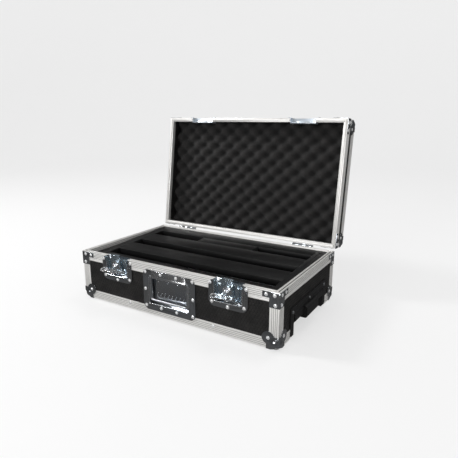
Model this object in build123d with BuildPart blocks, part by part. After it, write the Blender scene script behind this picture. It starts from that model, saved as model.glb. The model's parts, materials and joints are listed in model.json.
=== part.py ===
"""Trolley flight case with a built-in slatted pedalboard: a base, a hinged lid, the board and their fittings.

Everything is drawn in millimetres in the case's own frame: X runs along the case (right is +X), Y from front
to back, Z up from the underside of the base. The lid is drawn closed and the latch movements upright; both are
turned to their open places as they are written, and the whole case is then moved so that the origin is at the
bottom centre of its bounding box.
"""

import os
from build123d import *

os.makedirs("parts", exist_ok=True)

# ---- case body -------------------------------------------------------------------------------------------
case_width = 640.0  # over the aluminium, X
case_depth = 378.0  # over the aluminium, Y
base_height = 144.0  # underside to the closing plane
lid_height = 72.0
closing_gap = 0.4  # between the two closing profiles
panel_thickness = 9.0
angle_leg = 25.0
angle_thickness = 1.5
rim_leg = 27.0
rim_inner_leg = 14.0
rim_web = 6.0
tongue_width = 4.2
tongue_height = 3.0
groove_width = 5.6
groove_depth = 3.8
rib_depth = 0.45
rib_width = 1.3
rib_pitch = 4.6
rim_ribs = 5
angle_ribs = 4
joint_gap = 0.3  # where profiles and panels meet pressed parts

# ---- lid -------------------------------------------------------------------------------------------------
lid_open_angle = 98.0
hinge_offset = 5.5  # pin axis behind the back face
hinge_x = 218.0
hinge_width = 66.0
hinge_leaf_height = 24.0
hinge_pin_radius = 2.5
hinge_knuckle_radius = 4.5
foam_depth = 33.0  # closing plane to the foam's crests
foam_clearance = 0.6

# ---- pressed corners and rivets ---------------------------------------------------------------------------
sheet = 1.2
ball_radius = 16.0
ball_proud = 4.0
corner_square = 33.0
corner_lobe_radius = 16.5
corner_rivet = 27.0  # from both edges
brace_arm = 44.0
brace_width = 26.0
brace_top = 2.0  # below the closing plane
brace_arm_height = 14.0
brace_drop = 38.0
lid_brace_drop = 24.0
rivet_head_radius = 4.4
rivet_head_height = 2.0
rivet_shank_radius = 2.0
fit_gap = 0.05

# ---- recessed latches -------------------------------------------------------------------------------------
latch_x = 183.0
latch_width = 111.0
latch_drop = 71.0
latch_rise = 33.0
latch_corner = 18.0
recess_depth = 14.0
latch_opening = 80.0
latch_opening_drop = 57.0
latch_opening_rise = 20.0
pivot_drop = 47.0  # closing plane down to the carrier's pin
pivot_depth = 9.0  # pin behind the front face
pivot_radius = 2.5
latch_tilt = 14.0
spindle_drop = 20.0
spindle_radius = 5.0
boss_radius = 13.0
boss_thickness = 3.5
hook_width = 33.0
hook_thickness = 1.8
hook_travel = 3.6
hook_face = 6.0  # hook plate behind the front face
keeper_width = 38.0
wing_span = 60.0
wing_reach = 35.0
wing_thickness = 2.4
wing_hole_radius = 4.5
wing_hole_spacing = 40.0
wing_pin_radius = 1.5

# ---- recessed carrying handle -----------------------------------------------------------------------------
handle_width = 173.0
handle_bottom = 15.0
handle_height = 115.0
handle_corner = 17.0
handle_opening = 132.0
handle_opening_bottom = 33.0
handle_opening_top = 115.5
bail_rod_radius = 3.5
bail_half_span = 61.5
bail_pivot_height = 110.5
bail_bar_height = 44.0
bail_bend = 9.0
bail_stub_radius = 2.7
barrel_radius = 4.75
barrel_half_length = 57.0

# ---- pull-out trolley handle -------------------------------------------------------------------------------
bezel_width = 245.0
bezel_top = 78.0
bezel_bottom = 3.0
bezel_thickness = 2.5
pocket_width = 205.0
pocket_top = 57.0
pocket_depth = 47.0
pocket_wall = 3.0
tube_spacing = 172.0
tube_height = 40.0
outer_tube_radius = 11.0
mid_tube_radius = 9.4
rod_radius = 8.3
tube_wall = 1.0
slide_gap = 0.1
tube_length = 400.0
grip_length = 196.0
grip_bottom = 33.0
grip_top = 56.0
grip_inner = 22.0  # behind the end panel's face
grip_proud = 3.5
bulge_length = 80.0
bulge_bottom = 24.0
bulge_proud = 13.0
button_length = 26.0
button_width = 12.0
button_height = 7.0
button_travel = 3.0

# ---- wheels --------------------------------------------------------------------------------------------
wheel_radius = 30.0
wheel_width = 22.0
wheel_y = 110.0
wheel_proud = 18.0
wheel_below = 3.0
axle_radius = 4.0
axle_running_gap = 0.08
wheel_side_gap = 4.0
wheel_end_gap = 5.0
wheel_flange = 7.0

# ---- pedalboard ----------------------------------------------------------------------------------------
board_gap = 1.0  # to the rim's inner leg, each end
board_depth = 344.0
board_slope = 2.4
board_sink = 9.45  # its middle, below the closing plane
board_thickness = 18.0
board_wall = 2.0
board_slots = 3
slot_width = 40.0
slot_pitch = 105.0
rail_width = 30.0
bridge_length = 200.0
batten_width = 22.0
batten_height = 30.0
board_screw_radius = 2.5
board_screw_head = 5.0

# ---- derived -------------------------------------------------------------------------------------------
hx, hy = case_width / 2, case_depth / 2
rim_width = panel_thickness + 2 * angle_thickness
panel_face = angle_thickness  # panel's outer side, in from the aluminium
panel_back = angle_thickness + panel_thickness
lid_plane = base_height + closing_gap
lid_top = lid_plane + lid_height
overshoot = 2.0  # by which cutting tools pass the faces they cut
plate_front = -hy - sheet  # outer side of plates on the front face
tray_back = -hy + recess_depth

finished = []  # (part, pose), in the order they are written


def finish(sub_part, label, pose=Location()):
    """Name a finished sub-part and note the pose that it is written in."""
    sub_part.part.label = label
    finished.append((sub_part.part, pose))


def side_place(side, along=0.0, height=0.0):
    """Place of a bar drawn along X from its outer edge inwards (+Y), on one of the four sides."""
    return {
        "front": Location((along, -hy, height)),
        "back": Location((-along, hy, height), (0, 0, 180)),
        "left": Location((-hx, -along, height), (0, 0, -90)),
        "right": Location((hx, along, height), (0, 0, 90)),
    }[side]


def corner_places(height):
    """The four upright edges, for a part drawn at the front right one."""
    turns = {(1, -1): 0, (-1, -1): -90, (-1, 1): 180, (1, 1): 90}
    return [Location((sx * hx, sy * hy, height), (0, 0, turn)) for (sx, sy), turn in turns.items()]


def turned_about_x(angle, y, z):
    """Pose that turns a part about an axis along X through (y, z)."""
    return Location((0, y, z)) * Location((0, 0, 0), (angle, 0, 0)) * Location((0, -y, -z))


lid_pose = turned_about_x(-lid_open_angle, hy + hinge_offset, base_height)
latch_pose = turned_about_x(latch_tilt, -hy + pivot_depth, base_height - pivot_drop)
board_pose = Location((0, 0, base_height - board_sink), (board_slope, 0, 0))


def rim_bar(length, male, slots=()):
    """Closing profile along X: outer face at Y 0, closing plane at Z 0, legs down, ends mitred."""
    slot_size = latch_opening + 2 * sheet + 2 * joint_gap
    with BuildPart() as bar:
        with BuildSketch(Plane.YZ.offset(-length / 2)):
            with Locations((rim_width / 2, -rim_web / 2)):
                Rectangle(rim_width, rim_web)
            with Locations((angle_thickness / 2, -rim_leg / 2)):
                Rectangle(angle_thickness, rim_leg)
            with Locations((rim_width - angle_thickness / 2, -rim_inner_leg / 2)):
                Rectangle(angle_thickness, rim_inner_leg)
            with Locations(*[(0, -rib_pitch * (i + 0.75)) for i in range(rim_ribs)]):
                Rectangle(2 * rib_depth, rib_width, mode=Mode.SUBTRACT)
            if male:
                with Locations((rim_width / 2, tongue_height / 2)):
                    Rectangle(tongue_width, tongue_height)
            else:
                with Locations((rim_width / 2, -groove_depth / 2)):
                    Rectangle(groove_width, groove_depth, mode=Mode.SUBTRACT)
        extrude(amount=length)
        with BuildSketch(Plane.XY.offset(-rim_leg)):
            with BuildLine():
                Polyline(
                    (-length / 2, 0),
                    (length / 2, 0),
                    (length / 2 - rim_width, rim_width),
                    (-length / 2 + rim_width, rim_width),
                    close=True,
                )
            make_face()
        extrude(amount=rim_leg + tongue_height, mode=Mode.INTERSECT)
        if slots:
            with Locations(*[(x, rim_width / 2, 0) for x in slots]):
                Box(slot_size, rim_width + overshoot, 3 * rim_leg, mode=Mode.SUBTRACT)
    return bar.part


def angle_bar(length):
    """Ribbed angle profile along X: its outer edge on the X axis, legs along +Y and +Z."""
    with BuildPart() as bar:
        with BuildSketch(Plane.YZ.offset(-length / 2)):
            Rectangle(angle_leg, angle_thickness, align=(Align.MIN, Align.MIN))
            Rectangle(angle_thickness, angle_leg, align=(Align.MIN, Align.MIN))
            steps = [rib_pitch * (i + 1.1) for i in range(angle_ribs)]
            with Locations(*[(0, step) for step in steps]):
                Rectangle(2 * rib_depth, rib_width, mode=Mode.SUBTRACT)
            with Locations(*[(step, 0) for step in steps]):
                Rectangle(rib_width, 2 * rib_depth, mode=Mode.SUBTRACT)
        extrude(amount=length)
    return bar.part


def upright_angle(length):
    """The same angle standing at the front right edge, from Z 0 up."""
    return angle_bar(length).moved(Location((0, 0, length / 2), (0, -90, 0)))


# ==== base panels =======================================================================================
wheel_z = wheel_radius - wheel_below
wheel_x = -hx + wheel_radius - wheel_proud
well_half = wheel_width / 2 + wheel_side_gap  # inside half-width of a wheel's well
well_outer = well_half + pocket_wall
well_inner_x = wheel_x + wheel_radius + wheel_end_gap
well_top = wheel_z + wheel_radius + wheel_end_gap
pocket_inner_x = hx - panel_face - pocket_depth
pocket_outer_half = pocket_width / 2 + pocket_wall

with BuildPart() as base_bottom_panel:
    with Locations((0, 0, angle_thickness + panel_thickness / 2)):
        Box(case_width - 2 * panel_face, case_depth - 2 * panel_face, panel_thickness)
    pocket_cut = pocket_depth + pocket_wall + joint_gap
    with Locations((hx - panel_face - pocket_cut / 2 + overshoot, 0, 0)):
        Box(pocket_cut + 2 * overshoot, 2 * (pocket_outer_half + joint_gap), base_height, mode=Mode.SUBTRACT)
    well_cut = well_inner_x + pocket_wall + joint_gap + hx
    with Locations(*[(-hx + well_cut / 2 - overshoot, side * wheel_y, 0) for side in (-1, 1)]):
        Box(well_cut + 2 * overshoot, 2 * (well_outer + joint_gap), base_height, mode=Mode.SUBTRACT)
finish(base_bottom_panel, "base_bottom_panel")

wall_height = base_height - rim_web - panel_back
latch_cut_width = latch_opening + 2 * sheet + 2 * joint_gap
with BuildPart() as base_front_panel:
    with Locations((0, -hy + panel_face + panel_thickness / 2, panel_back + wall_height / 2)):
        Box(case_width - 2 * panel_face, panel_thickness, wall_height)
    latch_cut_height = latch_opening_drop + sheet + joint_gap
    with Locations(*[(side * latch_x, -hy, base_height) for side in (-1, 1)]):
        Box(latch_cut_width, 4 * panel_thickness, 2 * latch_cut_height, mode=Mode.SUBTRACT)
    handle_cut_height = handle_opening_top - handle_opening_bottom + 2 * (sheet + joint_gap)
    with Locations((0, -hy, (handle_opening_top + handle_opening_bottom) / 2)):
        Box(
            handle_opening + 2 * (sheet + joint_gap),
            4 * panel_thickness,
            handle_cut_height,
            mode=Mode.SUBTRACT,
        )
finish(base_front_panel, "base_front_panel")

with BuildPart() as base_back_panel:
    with Locations((0, hy - panel_face - panel_thickness / 2, panel_back + wall_height / 2)):
        Box(case_width - 2 * panel_face, panel_thickness, wall_height)
finish(base_back_panel, "base_back_panel")

end_panel_depth = case_depth - 2 * panel_back
with BuildPart() as base_left_panel:
    with Locations((-hx + panel_face + panel_thickness / 2, 0, panel_back + wall_height / 2)):
        Box(panel_thickness, end_panel_depth, wall_height)
    with Locations(*[(-hx, side * wheel_y, 0) for side in (-1, 1)]):
        Box(
            4 * panel_thickness,
            2 * (well_outer + joint_gap),
            2 * (well_top + pocket_wall + joint_gap),
            mode=Mode.SUBTRACT,
        )
finish(base_left_panel, "base_left_panel")

with BuildPart() as base_right_panel:
    with Locations((hx - panel_face - panel_thickness / 2, 0, panel_back + wall_height / 2)):
        Box(panel_thickness, end_panel_depth, wall_height)
    with Locations((hx, 0, 0)):
        Box(
            4 * panel_thickness,
            2 * (pocket_outer_half + joint_gap),
            2 * (pocket_top + pocket_wall + joint_gap),
            mode=Mode.SUBTRACT,
        )
finish(base_right_panel, "base_right_panel")

# ==== base aluminium ====================================================================================
with BuildPart() as base_rim_front:
    with Locations(side_place("front", 0, base_height)):
        add(rim_bar(case_width, False, (-latch_x, latch_x)))
finish(base_rim_front, "base_rim_front")

with BuildPart() as base_rim_back:
    with Locations(side_place("back", 0, base_height)):
        add(rim_bar(case_width, False))
finish(base_rim_back, "base_rim_back")

with BuildPart() as base_rim_ends:
    with Locations(side_place("left", 0, base_height), side_place("right", 0, base_height)):
        add(rim_bar(case_depth, False))
finish(base_rim_ends, "base_rim_ends")

with BuildPart() as base_corner_angles:
    with Locations(*corner_places(0)):
        add(upright_angle(base_height - rim_leg))
finish(base_corner_angles, "base_corner_angles")

long_run = case_width - 2 * angle_leg
end_stop = hy - angle_leg  # where the end angles meet the upright ones
bezel_stop = bezel_width / 2 + joint_gap
well_flange_half = well_outer + wheel_flange + joint_gap
with BuildPart() as base_bottom_angles:
    with Locations(side_place("front"), side_place("back")):
        add(angle_bar(long_run))
    trolley_run = end_stop - bezel_stop
    with Locations(*[side_place("right", side * (end_stop + bezel_stop) / 2) for side in (-1, 1)]):
        add(angle_bar(trolley_run))
    outer_run = end_stop - wheel_y - well_flange_half
    with Locations(*[side_place("left", side * (end_stop - outer_run / 2)) for side in (-1, 1)]):
        add(angle_bar(outer_run))
    with Locations(side_place("left")):
        add(angle_bar(2 * (wheel_y - well_flange_half)))
finish(base_bottom_angles, "base_bottom_angles")


# ==== pressed corners ===================================================================================
def rivet_places_on_corner():
    """Rivets of the front left ball corner: one in each of its three leaves."""
    reach = corner_rivet
    return [
        Plane(origin=(-hx + reach, -hy - sheet, reach), z_dir=(0, -1, 0)),
        Plane(origin=(-hx - sheet, -hy + reach, reach), z_dir=(-1, 0, 0)),
        Plane(origin=(-hx + reach, -hy + reach, -sheet), z_dir=(0, 0, -1)),
    ]


def brace_rivets(drop):
    """Rivets of the front left brace: three on the front leaf and three on the end leaf."""
    arm_middle = brace_top + brace_arm_height / 2
    spots = [(12, -arm_middle), (34, -arm_middle), (10, -brace_top - drop + 7)]
    front = [Plane(origin=(-hx + u, -hy - sheet, base_height + v), z_dir=(0, -1, 0)) for u, v in spots]
    end = [Plane(origin=(-hx - sheet, -hy + u, base_height + v), z_dir=(-1, 0, 0)) for u, v in spots]
    return front + end


def rivet_hole(place):
    """Hole for a rivet's shank through one sheet, cut from the part being built."""
    with BuildSketch(place.offset(overshoot)) as hole:
        Circle(rivet_shank_radius + fit_gap)
    extrude(hole.sketch, amount=-overshoot - sheet - fit_gap, mode=Mode.SUBTRACT)


with BuildPart() as ball_corner:
    leaf_planes = [
        Plane(origin=(-hx - sheet, -hy, -sheet), x_dir=(1, 0, 0), z_dir=(0, -1, 0)),
        Plane(origin=(-hx, -hy - sheet, -sheet), x_dir=(0, 1, 0), z_dir=(1, 0, 0)).offset(-sheet),
        Plane(origin=(-hx - sheet, -hy - sheet, 0), x_dir=(1, 0, 0), z_dir=(0, 0, 1)).offset(-sheet),
    ]
    for leaf in leaf_planes:
        with BuildSketch(leaf):
            with Locations((corner_square / 2, corner_square / 2)):
                Rectangle(corner_square, corner_square)
            with Locations((corner_rivet + sheet, corner_rivet + sheet)):
                Circle(corner_lobe_radius)
        extrude(amount=sheet)
    inset = ball_radius - ball_proud
    with Locations((-hx + inset, -hy + inset, inset)):
        Sphere(ball_radius)
    with Locations((-hx + hx / 2, -hy + hy / 2, base_height / 2)):
        Box(hx, hy, base_height, mode=Mode.SUBTRACT)
    for place in rivet_places_on_corner():
        rivet_hole(place)

with BuildPart() as base_ball_corners:
    add(ball_corner.part)
    mirror(about=Plane.YZ)
    mirror(about=Plane.XZ)
finish(base_ball_corners, "base_ball_corners")

def brace_corner(drop, rivets):
    """Pressed brace round the front left upright edge, just below the closing plane."""
    with BuildPart() as brace:
        for leaf in leaf_planes[:2]:
            top = base_height + sheet - brace_top
            arm_end = brace_arm + sheet
            leg_end = brace_width + sheet
            with BuildSketch(leaf) as outline:
                with BuildLine():
                    Polyline(
                        (0, top),
                        (arm_end, top),
                        (arm_end, top - brace_arm_height),
                        (leg_end, top - brace_arm_height),
                        (leg_end, top - drop),
                        (0, top - drop),
                        close=True,
                    )
                make_face()
            extrude(outline.sketch, amount=sheet)
        for place in rivets:
            rivet_hole(place)
    return brace.part


with BuildPart() as base_brace_corners:
    add(brace_corner(brace_drop, brace_rivets(brace_drop)))
    mirror(about=Plane.YZ)
    mirror(about=Plane.XZ)
finish(base_brace_corners, "base_brace_corners")

with BuildPart() as lid_brace:
    add(brace_corner(lid_brace_drop, brace_rivets(lid_brace_drop)))
    mirror(about=Plane.YZ)
    mirror(about=Plane.XZ)

closed_middle = Plane.XY.offset(lid_top / 2)
closing_middle = Plane.XY.offset(base_height + closing_gap / 2)
with BuildPart() as lid_ball_corners:
    mirror(base_ball_corners.part, about=closed_middle)
finish(lid_ball_corners, "lid_ball_corners", lid_pose)

with BuildPart() as lid_brace_corners:
    mirror(lid_brace.part, about=closing_middle)
finish(lid_brace_corners, "lid_brace_corners", lid_pose)

# ==== latches: dishes ====================================================================================
tray_height = latch_opening_drop
pivot_y = -hy + pivot_depth
pivot_z = base_height - pivot_drop
latch_rivet_spots = [(-51, -10), (51, -10), (-46, -59), (46, -59), (0, -66)]
lid_rivet_spots = [(-48, 9), (48, 9), (-43, 26), (43, 26)]


def latch_dish(rise, opening, corner):
    """Half of a recessed latch's dish, centred on X, from the closing plane (Z 0) up to the given rise."""
    with BuildPart() as dish:
        with BuildSketch(Plane.XZ.offset(hy)):
            with Locations((0, rise / 2)):
                Rectangle(latch_width, rise)
            fillet(vertices().group_by(Axis.Z)[-1], corner)
            with Locations((0, opening / 2)):
                Rectangle(latch_opening, opening, mode=Mode.SUBTRACT)
        extrude(amount=sheet)
        with Locations((0, -hy + (recess_depth + sheet) / 2, (opening + sheet) / 2)):
            Box(latch_opening + 2 * sheet, recess_depth + sheet, opening + sheet)
        with Locations((0, -hy + recess_depth / 2 - sheet, opening / 2)):
            Box(latch_opening, recess_depth + 2 * sheet, opening, mode=Mode.SUBTRACT)
    return dish.part


base_dish = mirror(latch_dish(latch_drop, latch_opening_drop, latch_corner), about=Plane.XY)
with BuildPart() as latch_dishes:
    with Locations(*[(side * latch_x, 0, base_height) for side in (-1, 1)]):
        add(base_dish)
    for side in (-1, 1):
        for u, v in latch_rivet_spots:
            rivet_hole(Plane(origin=(side * latch_x + u, plate_front, base_height + v), z_dir=(0, -1, 0)))
        with BuildSketch(Plane.YZ.offset(side * latch_x - latch_opening / 2 - overshoot)):
            with Locations((pivot_y, pivot_z)):
                Circle(pivot_radius + fit_gap)
        extrude(amount=latch_opening + 2 * overshoot, mode=Mode.SUBTRACT)
finish(latch_dishes, "latch_dishes")

keeper_shelf = 2.0  # top of the keeper's shelf above the lid's closing plane
keeper_lip_top = 4.2
keeper_reach = recess_depth - hook_face - hook_thickness - 0.9
with BuildPart() as lid_latch_dishes:
    with Locations(*[(side * latch_x, 0, lid_plane) for side in (-1, 1)]):
        add(latch_dish(latch_rise, latch_opening_rise, latch_corner * 0.7))
    for side in (-1, 1):
        with BuildSketch(Plane.YZ.offset(side * latch_x - keeper_width / 2)):
            with Locations((tray_back, lid_plane + keeper_shelf)):
                Rectangle(keeper_reach, angle_thickness, align=(Align.MAX, Align.MAX))
            with Locations((tray_back - keeper_reach, lid_plane + keeper_shelf - angle_thickness)):
                lip_height = keeper_lip_top - keeper_shelf + angle_thickness
                Rectangle(angle_thickness, lip_height, align=(Align.MIN, Align.MIN))
        extrude(amount=keeper_width)
        for u, v in lid_rivet_spots:
            rivet_hole(Plane(origin=(side * latch_x + u, plate_front, lid_plane + v), z_dir=(0, -1, 0)))
finish(lid_latch_dishes, "lid_latch_dishes", lid_pose)

with BuildPart() as latch_pivot_pins:
    for side in (-1, 1):
        with BuildSketch(Plane.YZ.offset(side * latch_x - latch_opening / 2 - sheet)):
            with Locations((pivot_y, pivot_z)):
                Circle(pivot_radius)
        extrude(amount=latch_opening + 2 * sheet)
finish(latch_pivot_pins, "latch_pivot_pins")

spring_start, spring_length = 22.0, 10.0
with BuildPart() as latch_springs:
    for side in (-1, 1):
        with BuildSketch(Plane.YZ.offset(side * latch_x + spring_start)):
            with Locations((pivot_y, pivot_z)):
                Circle(hinge_knuckle_radius)
                Circle(pivot_radius + 2 * joint_gap, mode=Mode.SUBTRACT)
        extrude(amount=spring_length)
finish(latch_springs, "latch_springs")

# ==== latches: the movement of each side =================================================================
hook_y = -hy + hook_face  # outer side of the hook plate
carrier_y = pivot_y - 0.5  # outer side of the carrier's plate
carrier_thickness = 1.6
spindle_z = base_height - spindle_drop
boss_y = hook_y - joint_gap  # inner side of the boss
wing_pin_y = boss_y - boss_thickness - 3.0
hook_gap = 0.6
carrier_half = latch_opening / 2 - 1.5
bar_width = 3.8
bar_gap = 1.6
carrier_knuckles = [(-36.0, -18.0), (17.5, 21.5), (32.5, 37.0)]

for side, name in ((-1, "left"), (1, "right")):
    mid = side * latch_x

    with BuildPart() as latch_carrier:
        plate_bottom, plate_top = pivot_z + pivot_radius + 2.0, spindle_z + 16.0
        with BuildSketch(Plane.XZ.offset(-carrier_y)):
            with Locations((mid, (plate_bottom + plate_top) / 2)):
                Rectangle(2 * carrier_half, plate_top - plate_bottom)
        extrude(amount=-carrier_thickness)
        for end in (-1, 1):
            outer = mid + end * (carrier_half - bar_width / 2)
            inner = outer - end * (bar_width + bar_gap)
            with Locations(*[(x, carrier_y - 2.2, (plate_bottom + plate_top) / 2 + 3) for x in (outer, inner)]):
                Box(bar_width, 5.0, plate_top - plate_bottom + 6)
        for start, stop in carrier_knuckles:
            with BuildSketch(Plane.YZ.offset(mid + start)):
                with Locations((pivot_y, pivot_z)):
                    Circle(hinge_knuckle_radius - 0.5)
                with Locations((pivot_y, pivot_z + 4)):
                    Rectangle(carrier_thickness + 1, 8)
            extrude(amount=stop - start)
        with BuildSketch(Plane.YZ.offset(mid - carrier_half)):
            with Locations((pivot_y, pivot_z)):
                Circle(pivot_radius + fit_gap)
        extrude(amount=2 * carrier_half, mode=Mode.SUBTRACT)
        with BuildSketch(Plane.XZ.offset(-carrier_y)):
            with Locations((mid, spindle_z)):
                Circle(spindle_radius + fit_gap)
        extrude(amount=-2 * carrier_thickness, mode=Mode.SUBTRACT)
    finish(latch_carrier, f"latch_carrier_{name}", latch_pose)

    with BuildPart() as latch_hook:
        hook_bottom = pivot_z + pivot_radius + hook_travel + 0.9
        lip_under = lid_plane + keeper_lip_top + hook_gap + hook_travel
        hook_top = lip_under + hook_thickness
        tip_y = tray_back - 1.2
        with BuildSketch(Plane.XZ.offset(-hook_y)):
            with Locations((mid, (hook_bottom + hook_top) / 2)):
                Rectangle(hook_width, hook_top - hook_bottom)
            fillet(vertices().group_by(Axis.Z)[0], 5)
            with Locations((mid, spindle_z + hook_travel / 2)):
                slot_half = spindle_radius + joint_gap
                Rectangle(2 * slot_half, hook_travel + 2 * slot_half, mode=Mode.SUBTRACT)
        extrude(amount=-hook_thickness)
        with BuildSketch(Plane.YZ.offset(mid - hook_width / 2)):
            with Locations((hook_y, lip_under)):
                Rectangle(tip_y - hook_y, hook_thickness, align=(Align.MIN, Align.MIN))
            with Locations((tip_y, lip_under + hook_thickness)):
                Rectangle(1.5, hook_thickness + 2.4, align=(Align.MAX, Align.MAX))
        extrude(amount=hook_width)
    finish(latch_hook, f"latch_hook_{name}", latch_pose)

    with BuildPart() as latch_spindle:
        with BuildSketch(Plane.XZ.offset(-boss_y)):
            with Locations((mid, spindle_z)):
                Circle(boss_radius)
        extrude(amount=boss_thickness)
        with BuildSketch(Plane.XZ.offset(-boss_y)):
            with Locations((mid, spindle_z)):
                Circle(spindle_radius)
        extrude(amount=-(carrier_y + carrier_thickness + joint_gap - boss_y))
        with BuildSketch(Plane.XZ.offset(-(carrier_y + carrier_thickness + fit_gap))):
            with Locations((mid, spindle_z)):
                Circle(spindle_radius + 2)
        extrude(amount=-1.4)
        for end in (-1, 1):
            with Locations((mid + end * 7.5, wing_pin_y + 1.2, spindle_z)):
                Box(3, 7, 7)
        with BuildSketch(Plane.YZ.offset(mid - 7)):
            with Locations((wing_pin_y, spindle_z)):
                Circle(wing_pin_radius)
        extrude(amount=14)
    finish(latch_spindle, f"latch_spindle_{name}", latch_pose)

    with BuildPart() as latch_wing:
        lobe_radius = wing_span / 2 - wing_hole_spacing / 2
        lobe_y = wing_pin_y - wing_reach + lobe_radius
        with BuildSketch(Plane.XY.offset(spindle_z - wing_thickness / 2)):
            with Locations((mid, (wing_pin_y + lobe_y) / 2)):
                Rectangle(11, wing_pin_y - lobe_y)
            with Locations(*[(mid + end * wing_hole_spacing / 2, lobe_y) for end in (-1, 1)]):
                Circle(lobe_radius)
            with Locations((mid, lobe_y + 1)):
                Rectangle(wing_hole_spacing, 2 * lobe_radius - 4)
            with Locations(*[(mid + end * wing_hole_spacing / 2, lobe_y) for end in (-1, 1)]):
                Circle(wing_hole_radius, mode=Mode.SUBTRACT)
        extrude(amount=wing_thickness)
        with BuildSketch(Plane.YZ.offset(mid - 5.5)):
            with Locations((wing_pin_y, spindle_z)):
                Circle(wing_pin_radius + 1.5)
        extrude(amount=11)
        with BuildSketch(Plane.YZ.offset(mid - 8)):
            with Locations((wing_pin_y, spindle_z)):
                Circle(wing_pin_radius + fit_gap)
        extrude(amount=16, mode=Mode.SUBTRACT)
    finish(latch_wing, f"latch_wing_{name}", latch_pose)

# ==== carrying handle ====================================================================================
handle_middle = handle_bottom + handle_height / 2
handle_rivet_spots = [(x, z) for z in (26.0, 122.0) for x in (-78, -26, 26, 78)] + [(-79, 73.5), (79, 73.5)]
with BuildPart() as handle_dish:
    with BuildSketch(Plane.XZ.offset(hy)):
        with Locations((0, handle_middle)):
            RectangleRounded(handle_width, handle_height, handle_corner)
        opening_middle = (handle_opening_top + handle_opening_bottom) / 2
        opening_height = handle_opening_top - handle_opening_bottom
        with Locations((0, opening_middle)):
            Rectangle(handle_opening, opening_height, mode=Mode.SUBTRACT)
    extrude(amount=sheet)
    with Locations((0, -hy + (recess_depth + sheet) / 2, opening_middle)):
        Box(handle_opening + 2 * sheet, recess_depth + sheet, opening_height + 2 * sheet)
    with Locations((0, -hy + recess_depth / 2 - sheet, opening_middle)):
        Box(handle_opening, recess_depth + 2 * sheet, opening_height, mode=Mode.SUBTRACT)
    for x, z in handle_rivet_spots:
        rivet_hole(Plane(origin=(x, plate_front, z), z_dir=(0, -1, 0)))
finish(handle_dish, "handle_dish")

bail_y = -hy + angle_thickness
with BuildPart() as handle_hinge_strap:
    with BuildSketch(Plane.YZ.offset(-barrel_half_length)):
        with Locations((plate_front, bail_pivot_height)):
            strap_top = handle_bottom + handle_height - 1
            Rectangle(sheet, strap_top - bail_pivot_height, align=(Align.MAX, Align.MIN))
        with Locations((bail_y, bail_pivot_height)):
            Circle(barrel_radius)
            Circle(bail_stub_radius + fit_gap, mode=Mode.SUBTRACT)
    extrude(amount=2 * barrel_half_length)
    notch_z = handle_rivet_spots[-3][1]
    with Locations(*[(x, plate_front, notch_z) for x in (-26, 26)]):
        Box(2 * rivet_head_radius + 1.5, 4, 2 * rivet_head_radius + 1.5, mode=Mode.SUBTRACT)
finish(handle_hinge_strap, "handle_hinge_strap")

with BuildPart() as handle_bail:
    for end in (-1, 1):
        with BuildSketch(Plane.XY.offset(bail_bar_height + bail_bend)):
            with Locations((end * bail_half_span, bail_y)):
                Circle(bail_rod_radius)
        extrude(amount=bail_pivot_height - bail_bar_height - bail_bend)
        with Locations((end * bail_half_span, bail_y, bail_pivot_height)):
            Sphere(bail_rod_radius)
        with BuildSketch(Plane.YZ.offset(end * bail_half_span)):
            with Locations((bail_y, bail_pivot_height)):
                Circle(bail_stub_radius)
        extrude(amount=-end * 20)
        with BuildSketch(Plane.XY.offset(bail_bar_height + bail_bend)):
            with Locations((end * bail_half_span, bail_y)):
                Circle(bail_rod_radius)
        bend_x = end * (bail_half_span - bail_bend)
        bend_axis = Axis((bend_x, bail_y, bail_bar_height + bail_bend), (0, end, 0))
        revolve(axis=bend_axis, revolution_arc=90)
    with BuildSketch(Plane.YZ.offset(-(bail_half_span - bail_bend))):
        with Locations((bail_y, bail_bar_height)):
            Circle(bail_rod_radius)
    extrude(amount=2 * (bail_half_span - bail_bend))
finish(handle_bail, "handle_bail")

# ==== pull-out handle ====================================================================================
end_face = hx - panel_face
tube_ys = (-tube_spacing / 2, tube_spacing / 2)
bezel_screw_spots = [(-110.0, 66.0), (0.0, 66.0), (110.0, 66.0)]
with BuildPart() as trolley_housing:
    with BuildSketch(Plane.YZ.offset(end_face)):
        with Locations((0, (bezel_top + bezel_bottom) / 2)):
            Rectangle(bezel_width, bezel_top - bezel_bottom)
        fillet(vertices().group_by(Axis.Z)[-1], 6)
        with Locations((0, pocket_top / 2)):
            Rectangle(pocket_width, pocket_top, mode=Mode.SUBTRACT)
    extrude(amount=bezel_thickness)
    box_depth = pocket_depth + pocket_wall
    with Locations((end_face - box_depth / 2, 0, (pocket_top + pocket_wall) / 2)):
        Box(box_depth, 2 * pocket_outer_half, pocket_top + pocket_wall)
    with Locations((end_face - pocket_depth / 2 + overshoot, 0, pocket_top / 2)):
        Box(pocket_depth + 2 * overshoot, pocket_width, pocket_top, mode=Mode.SUBTRACT)
    with BuildSketch(Plane.YZ.offset(pocket_inner_x - pocket_wall - overshoot)):
        with Locations(*[(y, tube_height) for y in tube_ys]):
            Circle(mid_tube_radius + 2 * slide_gap)
    extrude(amount=pocket_wall + 2 * overshoot, mode=Mode.SUBTRACT)
    with BuildSketch(Plane.YZ.offset(end_face)):
        with Locations(*bezel_screw_spots):
            Circle(rivet_shank_radius + fit_gap)
    extrude(amount=bezel_thickness, mode=Mode.SUBTRACT)
finish(trolley_housing, "trolley_housing")

with BuildPart() as trolley_screws:
    for y, z in bezel_screw_spots:
        with BuildSketch(Plane.YZ.offset(end_face)):
            with Locations((y, z)):
                Circle(rivet_shank_radius)
        extrude(amount=bezel_thickness)
        with BuildSketch(Plane.YZ.offset(end_face + bezel_thickness)):
            with Locations((y, z)):
                Circle(rivet_head_radius)
        extrude(amount=rivet_head_height, taper=25)
finish(trolley_screws, "trolley_screws")


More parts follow.
